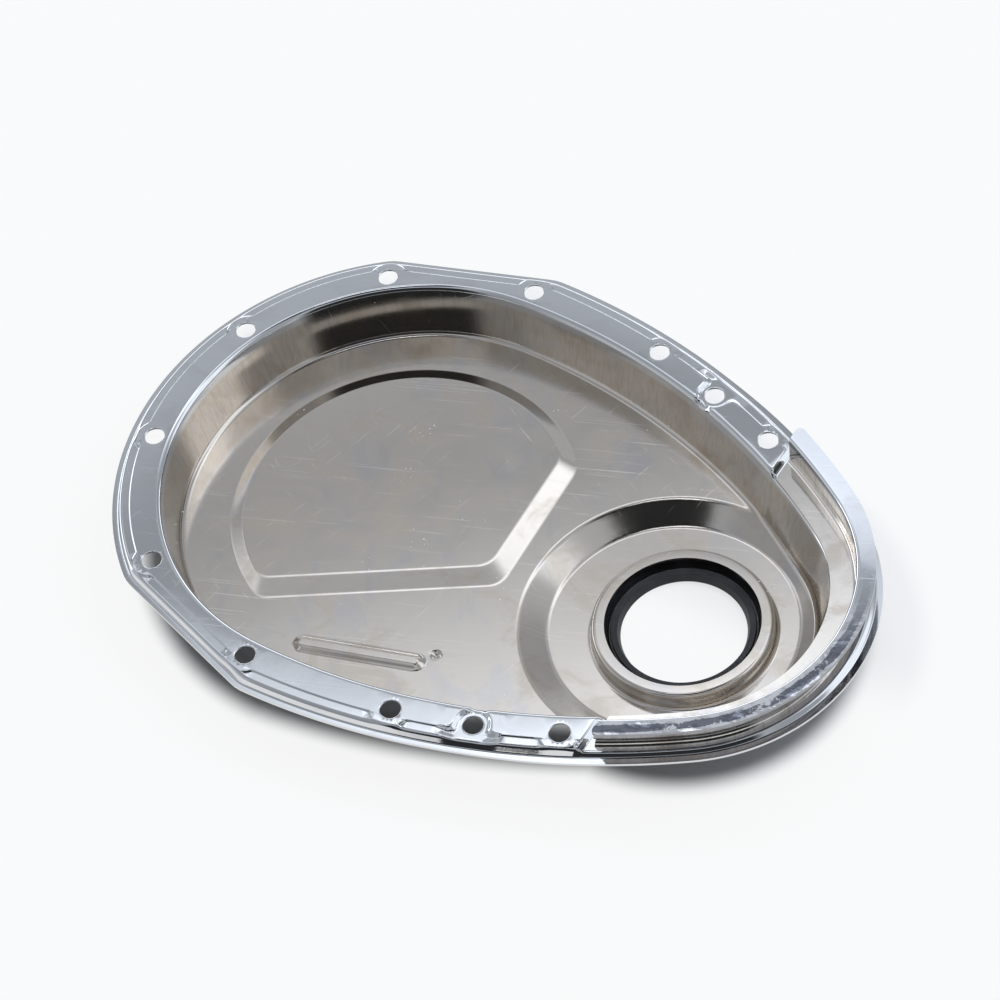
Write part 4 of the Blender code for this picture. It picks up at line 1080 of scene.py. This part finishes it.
cup_profile = [(SEAL_CASE_RADIUS, seal_case_top)]
cup_profile += bend_line(SEAL_CASE_RADIUS, SEAL_BOTTOM, SEAL_CASE_BEND)
cup_profile.append((SEAL_CASE_OPENING_RADIUS, SEAL_BOTTOM))
cup_profile.append((SEAL_CASE_OPENING_RADIUS, SEAL_BOTTOM + SEAL_CASE_SHEET))
cup_profile += reversed(bend_line(SEAL_CASE_RADIUS - SEAL_CASE_SHEET, SEAL_BOTTOM + SEAL_CASE_SHEET,
                                  SEAL_CASE_BEND - SEAL_CASE_SHEET))
cup_profile.append((SEAL_CASE_RADIUS - SEAL_CASE_SHEET, seal_case_top))
turned("seal_cup", cup_profile, black_paint, "seal_case")

lining = SEAL_CASE_RADIUS - SEAL_CASE_SHEET - SEAL_FIT
neck = SEAL_CASE_OPENING_RADIUS - SEAL_FIT
head_top = SEAL_BOTTOM + LIP_HEAD_HEIGHT
rubber_profile = [(lining, seal_case_top)]
rubber_profile += bend_line(lining, web_bottom, SEAL_CASE_BEND - SEAL_CASE_SHEET)
rubber_profile += [(neck, web_bottom), (neck, SEAL_BOTTOM), (LIP_MOUTH_RADIUS, SEAL_BOTTOM)]
rubber_profile += [(LIP_BORE_RADIUS, SEAL_BOTTOM + LIP_EDGE_HEIGHT)]
rubber_profile += [(LIP_HEAD_INNER_RADIUS, head_top - LIP_HEAD_FALL), (LIP_HEAD_OUTER_RADIUS, head_top)]
groove = SPRING_WIRE_RADIUS + SEAL_FIT
mouth = math.acos((LIP_HEAD_OUTER_RADIUS - SPRING_RING_RADIUS) / groove)
for angle in even_steps(mouth, 2 * math.pi - mouth, GROOVE_STEPS):
    rubber_profile.append((SPRING_RING_RADIUS + groove * math.cos(angle),
                           spring_height + groove * math.sin(angle)))
rubber_profile.append((LIP_HEAD_OUTER_RADIUS, spring_height - groove * math.sin(mouth)))
rubber_profile += [(LIP_HEAD_OUTER_RADIUS, web_top), (lining - SEAL_LINING, web_top)]
rubber_profile.append((lining - SEAL_LINING, seal_case_top))
turned("seal_rubber", rubber_profile, rubber, "seal_lip")


# A garter spring lies in the groove behind the sealing edge and keeps it pressed to the hub.
# It is one fine steel wire, close-coiled, with its ends joined into a ring.
COIL_WIRE_RADIUS = 0.16 * MM
COIL_TURNS = 420
COIL_TURN_STEPS = 10
WIRE_SIDES = 5

coil = bmesh.new()
around = SPRING_WIRE_RADIUS - COIL_WIRE_RADIUS
rings = []
for step in range(COIL_TURNS * COIL_TURN_STEPS):
    along = 2 * math.pi * step / (COIL_TURNS * COIL_TURN_STEPS)
    turn = 2 * math.pi * step / COIL_TURN_STEPS
    outward = Vector((math.cos(along), math.sin(along), 0.0))
    spoke = outward * math.cos(turn) + Vector((0.0, 0.0, math.sin(turn)))
    centre = outward * SPRING_RING_RADIUS + Vector((0.0, 0.0, spring_height)) + spoke * around
    beside = Vector((-math.sin(along), math.cos(along), 0.0))
    ring = []
    for side in even_steps(0.0, 2 * math.pi, WIRE_SIDES):
        arm = spoke * math.cos(side) + beside * math.sin(side)
        ring.append(coil.verts.new(centre + arm * COIL_WIRE_RADIUS))
    rings.append(ring)
for first, second in zip(rings, rings[1:] + rings[:1]):
    for side in range(WIRE_SIDES):
        after = (side + 1) % WIRE_SIDES
        coil.faces.new((first[side], first[after], second[after], second[side]))

spring_wire = dull("spring_wire", (0.42, 0.41, 0.4), (0.3, 0.28, 0.26),
                   metallic=1.0, roughness=0.25, grain=0.005 * MM)
spring = new_piece("coil_spring", coil, spring_wire, "garter_spring")
spring.data.shade_smooth()
